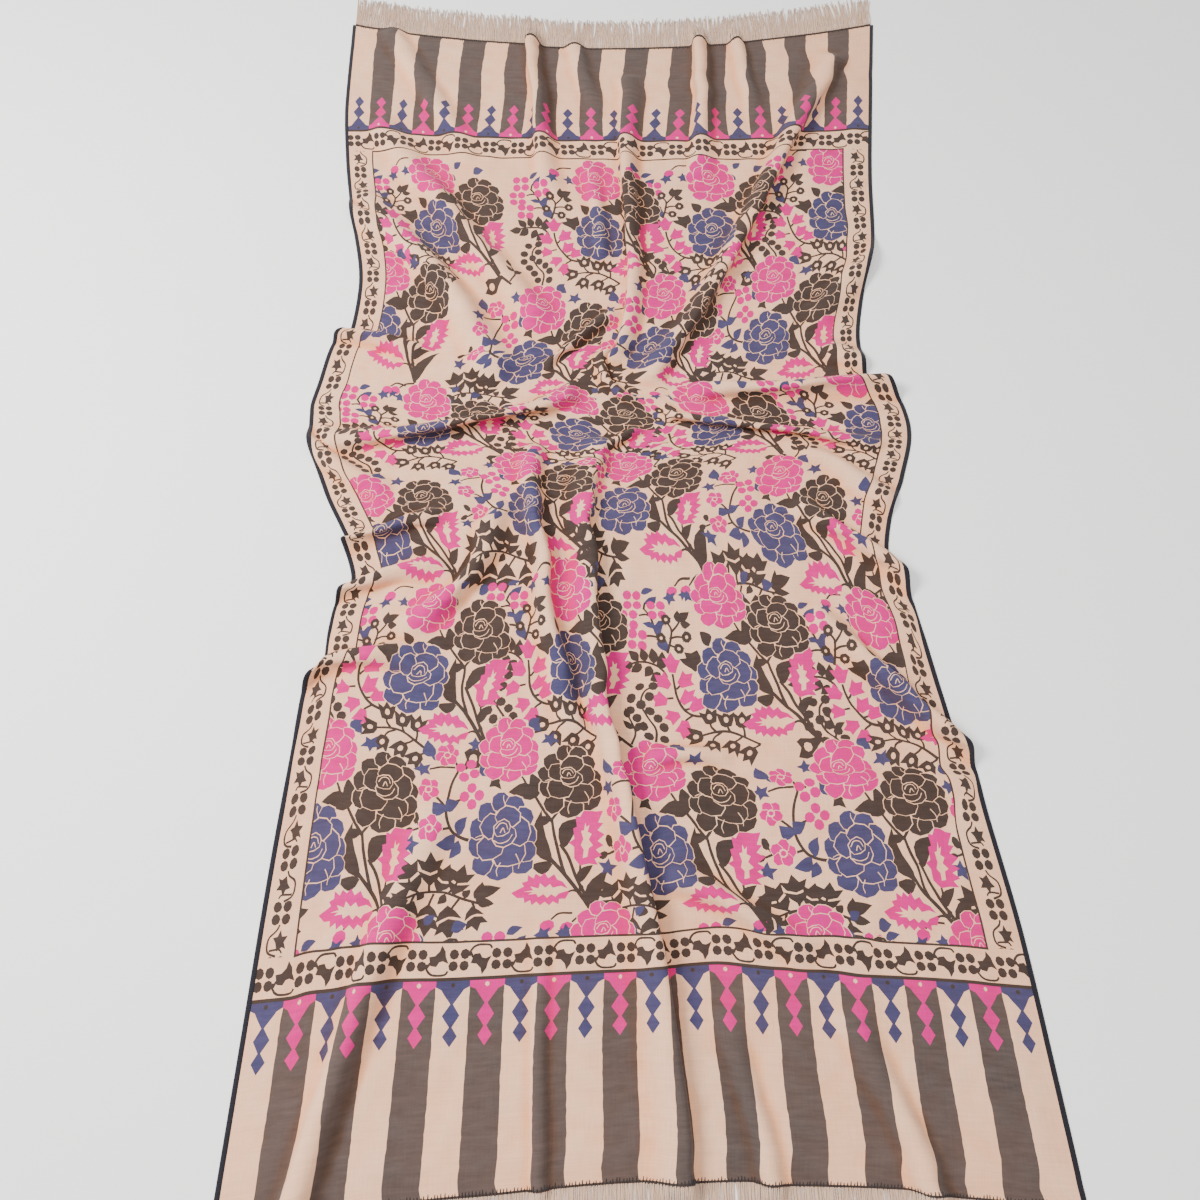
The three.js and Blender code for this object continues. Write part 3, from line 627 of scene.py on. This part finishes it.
def bar(s, other_s, t, other_t, yarn):
    """An upright block between two places across the cut and two along it."""
    (left, right), (low, high) = sorted((s, other_s)), sorted((t, other_t))
    weave(block(left, right, low, high), yarn, STRAIGHT_STEP)


def side_border(side):
    inner, outer = side * FIELD_HALF, side * HALF_WIDTH
    bar(inner, outer, -BORDER_END, BORDER_END, "cream")
    bar(inner, inner - side * LINE, -FIELD_END, FIELD_END, "charcoal")
    middle = side * (FIELD_HALF + SIDE_MIDDLE)
    for k in range(-SIDE_REPEATS, SIDE_REPEATS + 1):
        at = complex(middle, SIDE_PITCH * k)
        border_floret(at)
        sway = 8 if k % 2 else -8
        draw(at, (1.6, 12j, 17j - 1.4 * sway, 30j - 1.5 * sway, 38j - 0.4 * sway, 44j),
             (1.4, 18j - 1.2 * sway, 19j + 0.4 * sway, 15j + 0.9 * sway))
        scroll = places(-2-11j, 4-7j, 9-9j, 6-2j, 10+4j, 3+4j, 11j, -3+4j, -9+3j, -5-2j)
        weave(at + complex(0.3 * sway, 28) + scroll * (1 if k % 2 else -1), "charcoal", BORDER_STEP)


def end_border(end):
    inner, outer = end * FIELD_END, end * BORDER_END
    bar(-HALF_WIDTH, HALF_WIDTH, inner, outer, "cream")
    bar(-FIELD_HALF, FIELD_HALF, inner, inner + end * LINE, "charcoal")
    bar(-HALF_WIDTH, HALF_WIDTH, outer, outer - end * LINE, "charcoal")
    middle = end * 0.5 * (FIELD_END + BORDER_END)
    for k in range(-END_REPEATS, END_REPEATS):
        at = complex(END_PITCH * k + END_SHIFT, middle)
        border_floret(at)
        up = 1 if k % 2 else -1
        draw(at, (1.9, 12 + 4j * up, 13 + 10j * up, 20 + 16j * up, 34 + 16j * up, 38 + 12j * up),
             (1.9, 13 + 8j * up, 17 + 2j * up, 22))
        scroll = places(17+6j, 24+7j, 27+2j, 31+1j, 38+4j, 34-4j, 33-10j, 28-17j, 26-10j, 21-5j, 14-4j)
        weave(at + scroll.real + 1j * up * scroll.imag, "charcoal", BORDER_STEP)


STRIPES = 25
RAGGED = 0.45
RAGGED_STEP = 6.5
PAST_HEM = 5
SIDE_MARGIN = 0.6
PENDANT_SPOT = 2.6
PENDANT_LINE = 1.4
# How far the dark bar comes in from the near and far hems
HEM_BARS = {-1: 3.0, 1: 4.8}
PENDANT = places(-1+0j, 1+0j, 1+8j, 0.66+11j, 0.5+16j, 0.08+27j, 0.5+40j, 0.08+53j, 0.42+63j, 0+75j,
                 -0.42+63j, -0.08+53j, -0.5+40j, -0.08+27j, -0.5+16j, -0.66+11j, -1+8j)


def end_band(end, chance):
    """Ragged charcoal stripes to the hem, with a row of hanging diamonds."""
    outer, hem = end * BORDER_END, end * (HALF_LENGTH + PAST_HEM)
    bar(-HALF_WIDTH, HALF_WIDTH, outer, hem, "cream")
    width = 2 * (CLOTH_HALF - SIDE_MARGIN) / STRIPES
    along = np.arange(BORDER_END, HALF_LENGTH + 9, RAGGED_STEP)
    for k in range(1, STRIPES, 2):
        left = -CLOTH_HALF + SIDE_MARGIN + k * width
        rims = [left + side * width + RAGGED * chance.uniform(-1, 1, len(along)) for side in (0, 1)]
        left_rim, right_rim = (rim + 1j * end * along for rim in rims)
        weave(np.concatenate([left_rim, right_rim[::-1]]), "stripe", STRAIGHT_STEP)
    for k in range(STRIPES):
        middle = -CLOTH_HALF + SIDE_MARGIN + (k + 0.5) * width
        yarn = "pink" if k % 2 else "blue"
        shape = middle + 0.5 * width * PENDANT.real + 1j * end * (BORDER_END + PENDANT.imag)
        weave(shape, yarn)
        spot = oval(complex(middle, end * (BORDER_END + 6)), PENDANT_SPOT, PENDANT_SPOT, 0, 6)
        weave(spot, "cream" if k % 2 else "charcoal")
    bar(-HALF_WIDTH, HALF_WIDTH, outer, outer + end * PENDANT_LINE, "charcoal")
    bar(-HALF_WIDTH, HALF_WIDTH, end * (HALF_LENGTH - HEM_BARS[end]), hem, "charcoal")


def chart_pattern():
    chance = np.random.default_rng(7)
    bar(-HALF_WIDTH, HALF_WIDTH, -HALF_LENGTH, HALF_LENGTH, "cream")
    for sprigs, middles in ROSE_ROWS:
        for spot in places(*middles):
            sprigs(spot)
    for _, middles in ROSE_ROWS:
        for spot in places(*middles):
            roses(spot)
    for side in (-1, 1):
        side_border(side)
    for end in (-1, 1):
        end_border(end)
        end_band(end, chance)


def split_long(outline, step):
    """The outline with its long sides divided, so that they follow the folds."""
    nexts = np.roll(outline, -1)
    counts = np.maximum(1, np.ceil(np.abs(nexts - outline) / step)).astype(int)
    return np.concatenate([a + (b - a) * np.arange(n) / n for a, b, n in zip(outline, nexts, counts)])


def inside(outline, spots):
    """Which spots lie inside the outline."""
    x, y = spots.real[:, None], spots.imag[:, None]
    a, b = outline, np.roll(outline, -1)
    level = np.where(b.imag == a.imag, 1, b.imag - a.imag)
    crossing = a.real + (y - a.imag) * (b.real - a.real) / level
    crosses = ((a.imag > y) != (b.imag > y)) & (x < crossing)
    return np.count_nonzero(crosses, axis=1) % 2 == 1


YARNS = ("cream", "charcoal", "stripe", "pink", "blue")
CLEAR_OF_LINES = 1.8
SAME_PLACE = 0.001


def cut_cloth():
    """The cut cloth as triangles whose edges follow the pattern, with the yarn of each."""
    chart_pattern()
    frames = [split_long(block(-CLOTH_HALF, CLOTH_HALF, *ends), GRID) for ends in LENGTHS.values()]
    lines = frames + [split_long(outline, GRID + 1) for outline, _ in shapes
                      if outline.real.min() < CLOTH_HALF and outline.real.max() > -CLOTH_HALF and
                      outline.imag.min() < HALF_LENGTH and outline.imag.max() > -HALF_LENGTH]
    drawn = np.concatenate(lines)
    across = np.linspace(-CLOTH_HALF, CLOTH_HALF, 2 * round(CLOTH_HALF / GRID) + 1)
    along = np.linspace(-HALF_LENGTH, HALF_LENGTH, 2 * round(HALF_LENGTH / GRID) + 1)
    taken = np.zeros((len(across), len(along)), bool)
    i = np.rint((drawn.real - across[0]) / (across[1] - across[0])).astype(int)
    j = np.rint((drawn.imag - along[0]) / (along[1] - along[0])).astype(int)
    on = (i >= 0) & (i < len(across)) & (j >= 0) & (j < len(along))
    i, j, near = i[on], j[on], drawn[on]
    close = np.abs(across[i] + 1j * along[j] - near) < CLEAR_OF_LINES
    taken[i[close], j[close]] = True
    grid = (across[:, None] + 1j * along[None, :])[~taken]
    points = np.concatenate([drawn, grid])
    sides = []
    first = 0
    for line in lines:
        own = np.arange(first, first + len(line))
        sides.append(np.stack([own, np.roll(own, -1)], axis=1))
        first += len(line)
    made = delaunay_2d_cdt([Vector((p.real, p.imag)) for p in points],
                           np.concatenate(sides).tolist(), [], 0, SAME_PLACE, False)
    spots = np.array([v[0] + 1j * v[1] for v in made[0]])
    faces = np.array(made[2])
    middles = spots[faces].mean(axis=1)
    kept = (np.abs(middles.real) < CLOTH_HALF) & (np.abs(middles.imag) < HALF_LENGTH)
    faces, middles = faces[kept], middles[kept]
    return spots, faces, middles, yarn_of(middles)


def yarn_of(middles):
    """The yarn of the topmost outline over each place."""
    box = 25
    columns = 2 * HALF_WIDTH // box
    row = ((middles.imag + HALF_LENGTH) // box).astype(int)
    column = ((middles.real + HALF_WIDTH) // box).astype(int)
    home = row * columns + column
    order = np.argsort(home, kind="stable")
    starts = np.searchsorted(home[order], np.arange(columns * (2 * HALF_LENGTH // box) + 1))
    yarn = np.zeros(len(middles), int)
    for outline, thread in shapes:
        low_c, high_c = (int(np.clip((v + HALF_WIDTH) // box, 0, columns - 1))
                         for v in (outline.real.min(), outline.real.max()))
        low_r, high_r = (int(np.clip((v + HALF_LENGTH) // box, 0, 2 * HALF_LENGTH // box - 1))
                         for v in (outline.imag.min(), outline.imag.max()))
        near = np.concatenate([order[starts[r * columns + low_c]:starts[r * columns + high_c + 1]]
                               for r in range(low_r, high_r + 1)])
        yarn[near[inside(outline, middles[near])]] = YARNS.index(thread)
    return yarn


def colour(red, green, blue):
    """A colour as the eye sees it, as the light that it reflects."""
    values = np.array([red, green, blue]) / 255
    return np.where(values <= 0.04045, values / 12.92, ((values + 0.055) / 1.055) ** 2.4)


YARN_COLOURS = {
    "cream": colour(240, 192, 158),
    "charcoal": colour(66, 55, 51),
    "stripe": colour(86, 75, 72),
    "pink": colour(208, 34, 128),
    "blue": colour(69, 66, 100),
}


def new_piece(name, points, faces, normals=None):
    """A piece of the shawl from millimetre points, with its place in its mesh."""
    mesh = bpy.data.meshes.new(name)
    mesh.vertices.add(len(points))
    mesh.vertices.foreach_set("co", (points * MM).ravel())
    sizes = np.array([len(face) for face in faces])
    flat = np.array([corner for face in faces for corner in face])
    mesh.loops.add(len(flat))
    mesh.loops.foreach_set("vertex_index", flat)
    mesh.polygons.add(len(sizes))
    mesh.polygons.foreach_set("loop_start", np.concatenate([[0], np.cumsum(sizes)[:-1]]))
    mesh.update(calc_edges=True)
    mesh.polygons.foreach_set("use_smooth", np.ones(len(sizes), bool))
    if normals is not None:
        mesh.normals_split_custom_set_from_vertices(normals)
    mesh.update()
    piece = bpy.data.objects.new(name, mesh)
    bpy.context.scene.collection.objects.link(piece)
    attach(piece, "root")
    return piece


def chart(mesh, name, flat):
    """A uv map from one flat place for each point."""
    corners = np.zeros(len(mesh.loops), int)
    mesh.loops.foreach_get("vertex_index", corners)
    mesh.uv_layers.new(name=name).data.foreach_set("uv", flat[corners].astype(np.float32).ravel())


# The bake's charts: how much of theirs the lengths fill, and how far the turned down rims stand out
CHART_FILL = 0.985
CHART_RIM = 1.008


def rim_sides(faces):
    """The open edges of a sheet of triangles, each as its face goes round it."""
    sides = np.concatenate([faces[:, [0, 1]], faces[:, [1, 2]], faces[:, [2, 0]]])
    ways = {(a, b) for a, b in sides.tolist()}
    return np.array([(a, b) for a, b in sides.tolist() if (b, a) not in ways])


def make_length(name, spots, faces, yarn, lie):
    """One length of the cloth, turned down at its hems and sides."""
    used, own = np.unique(faces, return_inverse=True)
    faces = own.reshape(-1, 3)
    spot = spots[used]
    normal = lie["normal"][used]
    over = lie["place"][used] + normal * CLOTH_WALL + (0, 0, CLOTH_LIFT)
    rim = rim_sides(faces)
    middle = spot[rim].mean(axis=1)
    slack = 0.01
    rim = rim[(np.abs(middle.real) > CLOTH_HALF - slack) | (np.abs(middle.imag) > HALF_LENGTH - slack)]
    edge, ends = np.unique(rim, return_inverse=True)
    below = len(used) + ends.reshape(-1, 2)
    walls = np.concatenate([np.stack([rim[:, 1], rim[:, 0], below[:, 0]], axis=1),
                            np.stack([rim[:, 1], below[:, 0], below[:, 1]], axis=1)])
    points = np.concatenate([over, lie["place"][used][edge] + (0, 0, CLOTH_LIFT)])
    piece = new_piece(name, points, np.concatenate([faces, walls]), np.concatenate([normal, normal[edge]]))
    mesh = piece.data
    threads = np.concatenate([yarn, np.zeros(len(walls), int)])
    palette = np.array([[*YARN_COLOURS[thread], 1] for thread in YARNS])
    shade = mesh.color_attributes.new("yarn", "FLOAT_COLOR", "CORNER")
    shade.data.foreach_set("color", np.repeat(palette[threads], 3, axis=0).astype(np.float32).ravel())
    # How deep each point lies in a hollow, for the painted warm shade there
    hollow_shade = lie["hollow_shade"][used]
    depth = mesh.attributes.new("hollow_shade", "FLOAT", "POINT")
    depth.data.foreach_set("value", np.concatenate([hollow_shade, hollow_shade[edge]]).astype(np.float32))
    flat = np.stack([spot.real, spot.imag], axis=1) * MM
    chart(mesh, "cut", np.concatenate([flat, flat[edge]]))
    share = (flat - flat.min(axis=0)) / (flat.max(axis=0) - flat.min(axis=0))
    turned_down = 0.5 + (share[edge] - 0.5) * CHART_RIM
    chart(mesh, "OFBake", 0.5 + (np.concatenate([share, turned_down]) - 0.5) * CHART_FILL)
    mesh.uv_layers.active_index = 0
    mesh.uv_layers["cut"].active_render = True
    return piece


class Number:
    """A value in a finish. Sums on it add their nodes."""

    def __init__(self, finish, socket):
        self.finish = finish
        self.socket = socket

    def maths(self, operation, *values):
        return self.finish.node("ShaderNodeMath", {"operation": operation}, dict(enumerate(values)))

    def __add__(self, other):
        return self.maths("ADD", self, other)

    def __sub__(self, other):
        return self.maths("SUBTRACT", self, other)

    def __mul__(self, other):
        return self.maths("MULTIPLY", self, other)

    def __rsub__(self, other):
        return self.maths("SUBTRACT", other, self)

    __radd__ = __add__
    __rmul__ = __mul__

    def sine(self):
        return self.maths("SINE", self)

    def other(self, name):
        return Number(self.finish, self.socket.node.outputs[name])


class Finish:
    """A material, with one way to add any node to it."""

    def __init__(self, name, **constants):
        self.material = bpy.data.materials.new(name)
        self.material.use_nodes = True
        self.shader = self.material.node_tree.nodes["Principled BSDF"]
        for socket, value in constants.items():
            self.shader.inputs[socket.replace("_", " ")].default_value = value

    def set(self, socket, value):
        if isinstance(value, Number):
            self.material.node_tree.links.new(value.socket, socket)
        elif hasattr(value, "__len__") and len(value) == 3 and len(socket.default_value) == 4:
            socket.default_value = (*value, 1)
        else:
            socket.default_value = value

    def node(self, kind, settings, inputs, output=0):
        node = self.material.node_tree.nodes.new(kind)
        for name, value in settings.items():
            setattr(node, name, value)
        for name, value in inputs.items():
            self.set(node.inputs[name], value)
        return Number(self, node.outputs[output])

    def mix(self, share, low, high, way="MIX"):
        """Two colours mixed by share."""
        return self.node("ShaderNodeMix", {"data_type": "RGBA", "blend_type": way},
                         {0: share, 6: low, 7: high}, 2)

    def noise(self, vector, scale, stretch=(1, 1, 1), detail=3.0, rough=0.55):
        place = self.node("ShaderNodeVectorMath", {"operation": "MULTIPLY"}, {0: vector, 1: stretch})
        return self.node("ShaderNodeTexNoise", {}, {"Vector": place, "Scale": scale, "Detail": detail,
                                                    "Roughness": rough})

    def shade(self, base, roughness, bump=None, depth=0.0002, strength=1.0):
        self.set(self.shader.inputs["Base Color"], base)
        self.set(self.shader.inputs["Roughness"], roughness)
        if bump is not None:
            normal = self.node("ShaderNodeBump", {}, {"Height": bump, "Distance": depth,
                                                      "Strength": strength})
            self.set(self.shader.inputs["Normal"], normal)
        return self.material


# Pitches in metres of the twill, the weft and the edging's ribs
TWILL_PITCH = 0.0016
WEFT_PITCH = 0.0011
RIB_PITCH = 0.0024
# The painted warm shade multiplied into the cloth's colour in its hollows
HOLLOW_SHADE_TINT = (0.97, 0.68, 0.47)
PATCH_TINT = (0.9, 0.79, 0.72)


def woven_wool():
    """Fine twill wool in several yarns, with slubs, uneven warm patches and painted warm shade in its
    hollows.
    """
    wool = Finish("woven_wool", Sheen_Weight=0.08, Sheen_Roughness=0.55, Sheen_Tint=(1, 0.9, 0.82, 1),
                  Specular_IOR_Level=0.06)
    cut = wool.node("ShaderNodeUVMap", {"uv_map": "cut"}, {})
    yarn = wool.node("ShaderNodeAttribute", {"attribute_name": "yarn"}, {}, "Color")
    hollow_shade = wool.node("ShaderNodeAttribute", {"attribute_name": "hollow_shade"}, {}, "Fac")
    parts = wool.node("ShaderNodeSeparateXYZ", {}, {0: cut}, "X")
    across, along = parts, parts.other("Y")
    twill = ((across + along) * (TURN / TWILL_PITCH)).sine()
    weft = (along * (TURN / WEFT_PITCH)).sine()
    warp_slubs = wool.noise(cut, 1.0, (620, 26, 1), 3.0)
    weft_slubs = wool.noise(cut, 1.0, (22, 560, 1), 3.0)
    patches = wool.noise(cut, 5.5, (1, 1, 1), 4.0)
    slubs = warp_slubs * 0.5 + weft_slubs * 0.5
    # Painted warm shade: the yarn's colour darkened and warmed in the hollows between the folds
    yarn_with_painted_shade = wool.mix(hollow_shade, yarn, HOLLOW_SHADE_TINT, "MULTIPLY")
    # Uneven warm patches, laid at random over the cloth
    patched = wool.mix((patches - 0.36) * 2.2, yarn_with_painted_shade, PATCH_TINT, "MULTIPLY")
    streaks = wool.noise(cut, 1.0, (30, 150, 1), 5.0, 0.7)
    red = wool.node("ShaderNodeSeparateColor", {}, {0: yarn})
    deep = 1.0 - red
    light = 0.74 + slubs * 0.5 + (streaks + patches - 1.0) * (0.12 + deep * 0.75) + twill * 0.04
    shaded = wool.node("ShaderNodeVectorMath", {"operation": "SCALE"}, {0: patched, "Scale": light})
    height = twill * 0.5 + weft * 0.3 + slubs * 1.6 + streaks * 0.8
    return wool.shade(shaded, 0.8 + slubs * 0.18, height, 0.00018, 0.6)


def dark_tape():
    """The dark edging, close crosswise ribs of a soft yarn."""
    tape = Finish("dark_edging", Sheen_Weight=0.08, Sheen_Roughness=0.5, Specular_IOR_Level=0.2)
    cut = tape.node("ShaderNodeUVMap", {"uv_map": "cut"}, {})
    along = tape.node("ShaderNodeSeparateXYZ", {}, {0: cut}, "Y")
    fibres = tape.noise(cut, 1.0, (900, 240, 1), 4.0)
    ribs = (along * (TURN / RIB_PITCH) + fibres * 2.5).sine()
    fibre_tone = tape.mix(fibres, colour(12, 12, 18), colour(40, 38, 48))
    return tape.shade(fibre_tone, 0.72 + fibres * 0.2, ribs * 0.6 + fibres, 0.0005, 0.9)


def loose_yarn(name, dark, pale):
    """Soft single yarn, paler where its fibres catch the light."""
    yarn = Finish(name, Sheen_Weight=0.12, Sheen_Roughness=0.5, Specular_IOR_Level=0.2)
    place = yarn.node("ShaderNodeTexCoord", {}, {}, "Object")
    fibres = yarn.noise(place, 420.0, (1, 0.25, 1), 3.0)
    tufts = yarn.noise(place, 26.0, (1, 0.3, 1), 2.0)
    # Painted highlight: the paler fibres where they would catch the light
    fibre_tone = yarn.mix(fibres * 0.6 + tufts * 0.4, dark, pale)
    return yarn.shade(fibre_tone, 0.75 + fibres * 0.2, fibres, 0.0003, 0.7)


# The edging in millimetres: its middle on the cut, half its width and thickness, and its rise
EDGING_AT = 496.3
EDGING_HALF = 3.7
EDGING_THICK = 0.85
EDGING_RISE = 1.05
EDGING_FLOOR = 0.15
EDGING_STEP = 4.0


def make_edging(side, look):
    """The rounded dark edging along one long side."""
    stations = np.arange(-HALF_LENGTH + 0.5, HALF_LENGTH, EDGING_STEP)
    rounds = 8
    middle, normal, across = surface(side * EDGING_AT + 1j * stations)
    angle = np.arange(rounds) * TURN / rounds
    centre = middle + normal * EDGING_RISE
    rings = (centre[:, None, :] + EDGING_HALF * np.cos(angle)[None, :, None] * across[:, None, :] +
             EDGING_THICK * np.sin(angle)[None, :, None] * normal[:, None, :])
    rings[:, :, 2] = np.maximum(rings[:, :, 2], EDGING_FLOOR)
    faces = tube_faces(len(stations), rounds, False)
    piece = new_piece("tape_left" if side < 0 else "tape_right", rings.reshape(-1, 3), faces)
    round_it = np.tile(np.cos(angle) * 3 * MM, len(stations))
    chart(piece.data, "cut", np.stack([round_it, np.repeat(stations * MM, rounds)], axis=1))
    piece.data.materials.append(look)
    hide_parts("edging_left" if side < 0 else "edging_right")
    return piece


def tube_faces(count, rounds, inward):
    """Faces of a tube of rings, with both ends closed."""
    faces = []
    for ring in range(count - 1):
        for k in range(rounds):
            a, b = rounds * ring + k, rounds * ring + (k + 1) % rounds
            face = [a, b, b + rounds, a + rounds]
            faces.append(face[::-1] if inward else face)
    first, last = list(range(rounds)), list(range(rounds * (count - 1), rounds * count))
    faces.append(first if inward else first[::-1])
    faces.append(last[::-1] if inward else last)
    return faces


def tubes(name, lines, thick, rounds, look):
    """Many fine tubes along lines of points, as one piece."""
    points, faces = [], []
    angle = np.arange(rounds) * TURN / rounds
    first = 0
    for line, radius in zip(lines, thick):
        way = np.gradient(line, axis=0)
        way /= np.linalg.norm(way, axis=1)[:, None]
        side = np.cross(way, (0, 0, 1.0))
        side /= np.linalg.norm(side, axis=1)[:, None]
        up = np.cross(side, way)
        sideways = np.cos(angle)[None, :, None] * side[:, None, :]
        upwards = np.sin(angle)[None, :, None] * up[:, None, :]
        ring = line[:, None, :] + radius[:, None, None] * (sideways + upwards)
        ring[:, :, 2] = np.maximum(ring[:, :, 2], CLOTH_LIFT)
        points.append(ring.reshape(-1, 3))
        faces += [[first + k for k in face] for face in tube_faces(len(line), rounds, True)]
        first += len(line) * rounds
    piece = new_piece(name, np.concatenate(points), faces)
    piece.data.materials.append(look)
    return piece


STRANDS = 760
WARP_LIFT = 0.8
WARP_UNEVEN = 0.16
WARP_SWAY = 5
WARP_REST = 0.95


def make_fringe(end, look, chance):
    """Loose warp beyond one hem, in soft uneven strands that end just above the floor."""
    s = np.linspace(-CLOTH_HALF + 1, CLOTH_HALF - 1, STRANDS) + chance.uniform(-0.8, 0.8, STRANDS)
    root, normal, _ = surface(s + 1j * end * (HALF_LENGTH - 0.6))
    root = root + normal * WARP_LIFT
    share = np.linspace(0, 1, 6)
    lines, thick = [], []
    for k in range(STRANDS):
        reach = FRINGE_LENGTH * (1 - WARP_UNEVEN * abs(math.sin(k * 0.37)) - chance.uniform(0, 0.08))
        sway = WARP_SWAY * math.sin(k * 0.06) + chance.uniform(-4, 4)
        wave = chance.uniform(-1.2, 1.2)
        line = np.empty((len(share), 3))
        line[:, 0] = root[k, 0] + sway * share ** 2 + wave * np.sin(share * 7)
        line[:, 1] = root[k, 1] + end * reach * share
        rest = WARP_REST + chance.uniform(0, 1.0)
        line[:, 2] = np.maximum(root[k, 2] * (1 - share) ** 2, rest)
        lines.append(line)
        thick.append(np.interp(share, (0, 0.5, 1), (0.8, 0.9, 0.55)))
    piece = tubes("loose_warp_near" if end < 0 else "loose_warp_far", lines, thick, 4, look)
    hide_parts("fringe_near" if end < 0 else "fringe_far")
    return piece


STITCH_PITCH = 3.6
# How far along the cut a stitch starts and bends, over its hem, and how it lies and thins
STITCH_START = 0.5
STITCH_BEND = -1.5
STITCH_LIFT = np.array([0.9, CLOTH_WALL + 0.45, CLOTH_WALL - 0.1])
STITCH_THICK = np.array([0.8, 0.9, 0.5])


def make_overlock(end, look, chance):
    """Dark stitches over the hem at one end."""
    lines, thick = [], []
    for start in np.arange(-CLOTH_HALF + 2, CLOTH_HALF - 4, STITCH_PITCH):
        slant = chance.uniform(2.0, 3.4)
        depth = chance.uniform(4.2, 7.4)
        across = start + slant * np.array([0, 0.5, 1])
        along = HALF_LENGTH + np.array([STITCH_START, STITCH_BEND, -depth])
        place, normal, _ = surface(across + 1j * end * along)
        lines.append(place + normal * STITCH_LIFT[:, None])
        thick.append(STITCH_THICK)
    return tubes("overlock_near" if end < 0 else "overlock_far", lines, thick, 5, look)


# A place is in a hollow as far as it lies below those around it, and gets that much painted warm shade
HOLLOW_REACH = 9
HOLLOW_START = 0.1
HOLLOW_DEEPENS = 0.42


def make_cloth(look):
    spots, faces, middles, yarn = cut_cloth()
    place, normal, _ = surface(spots)
    round_about = [laid(spots.real + way.real, spots.imag + way.imag)[:, 2]
                   for way in HOLLOW_REACH * places(1, -1, 1j, -1j)]
    sunk = np.mean(round_about, axis=0) - place[:, 2]
    # The share of painted warm shade at each point, a little everywhere and more in hollows
    hollow_shade = np.clip(HOLLOW_START + HOLLOW_DEEPENS * sunk, 0, 1)
    lie = {"place": place, "normal": normal, "hollow_shade": hollow_shade}
    made = {}
    for name, (low, high) in LENGTHS.items():
        own = (middles.imag > low) & (middles.imag < high)
        piece = make_length(name, spots, faces[own], yarn[own], lie)
        piece.data.materials.append(look)
        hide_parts("cloth")
        made[name] = piece
    return made


FLOOR_SIZE = 12
LAMP_TINT = (1.0, 0.98, 0.96)
LAMPS = {  # place, size, watts
    "window": ((-1.9, 0.2, 1.9), 1.0, 112),
    "ceiling": ((0.5, -0.8, 2.9), 2.2, 54),
}
SKY_TINT = (1, 0.99, 0.98, 1)
SKY_STRENGTH = 0.8


def light_room():
    """A pale floor and plain soft studio light."""
    bpy.ops.mesh.primitive_plane_add(size=FLOOR_SIZE, location=(0, 0, 0))
    floor = bpy.context.object
    floor.name = "floor"
    paint = Finish("pale_floor", Roughness=0.9)
    place = paint.node("ShaderNodeTexCoord", {}, {}, "Object")
    grain = paint.noise(place, 3.0)
    floor.data.materials.append(paint.shade(paint.mix(grain, (0.94, 0.94, 0.94), (0.96, 0.96, 0.96)), 0.85))
    for name, (place, size, watts) in LAMPS.items():
        light = bpy.data.objects.new(name, bpy.data.lights.new(name, "AREA"))
        light.data.size = size
        light.data.energy = watts
        light.data.color = LAMP_TINT
        light.location = place
        light.rotation_euler = (-Vector(place)).to_track_quat("-Z", "Y").to_euler()
        bpy.context.scene.collection.objects.link(light)
    world = bpy.data.worlds.new("studio")
    bpy.context.scene.world = world
    world.use_nodes = True
    sky = world.node_tree.nodes["Background"].inputs
    sky["Color"].default_value = SKY_TINT
    sky["Strength"].default_value = SKY_STRENGTH


def make_camera():
    """Held above the near end, looking steeply down the shawl."""
    camera = bpy.data.objects.new("camera", bpy.data.cameras.new("camera"))
    camera.data.lens = 26.4
    camera.data.sensor_width = 36
    camera.data.shift_x = -0.0267
    camera.data.shift_y = 0.0092
    camera.data.clip_start = 0.01
    heading, pitch = math.radians(1.656), math.radians(69.309)
    level = math.cos(pitch)
    way = Vector((math.sin(heading) * level, math.cos(heading) * level, -math.sin(pitch)))
    camera.location = (-0.0115, -0.6576, 1.14465)
    camera.rotation_euler = way.to_track_quat("-Z", "Y").to_euler()
    bpy.context.scene.collection.objects.link(camera)
    bpy.context.scene.camera = camera


make_camera()
chance = np.random.default_rng(11)
wool = woven_wool()
tape = dark_tape()
stitches = loose_yarn("overlock_thread", colour(26, 23, 26), colour(56, 50, 52))
warp = loose_yarn("loose_warp", colour(176, 140, 116), colour(226, 196, 172))
lengths = make_cloth(wool)
edgings = [make_edging(side, tape) for side in (-1, 1)]
near_hem, far_hem = (make_overlock(end, stitches, chance) for end in (-1, 1))
near_warp, far_warp = (make_fringe(end, warp, chance) for end in (-1, 1))
light_room()
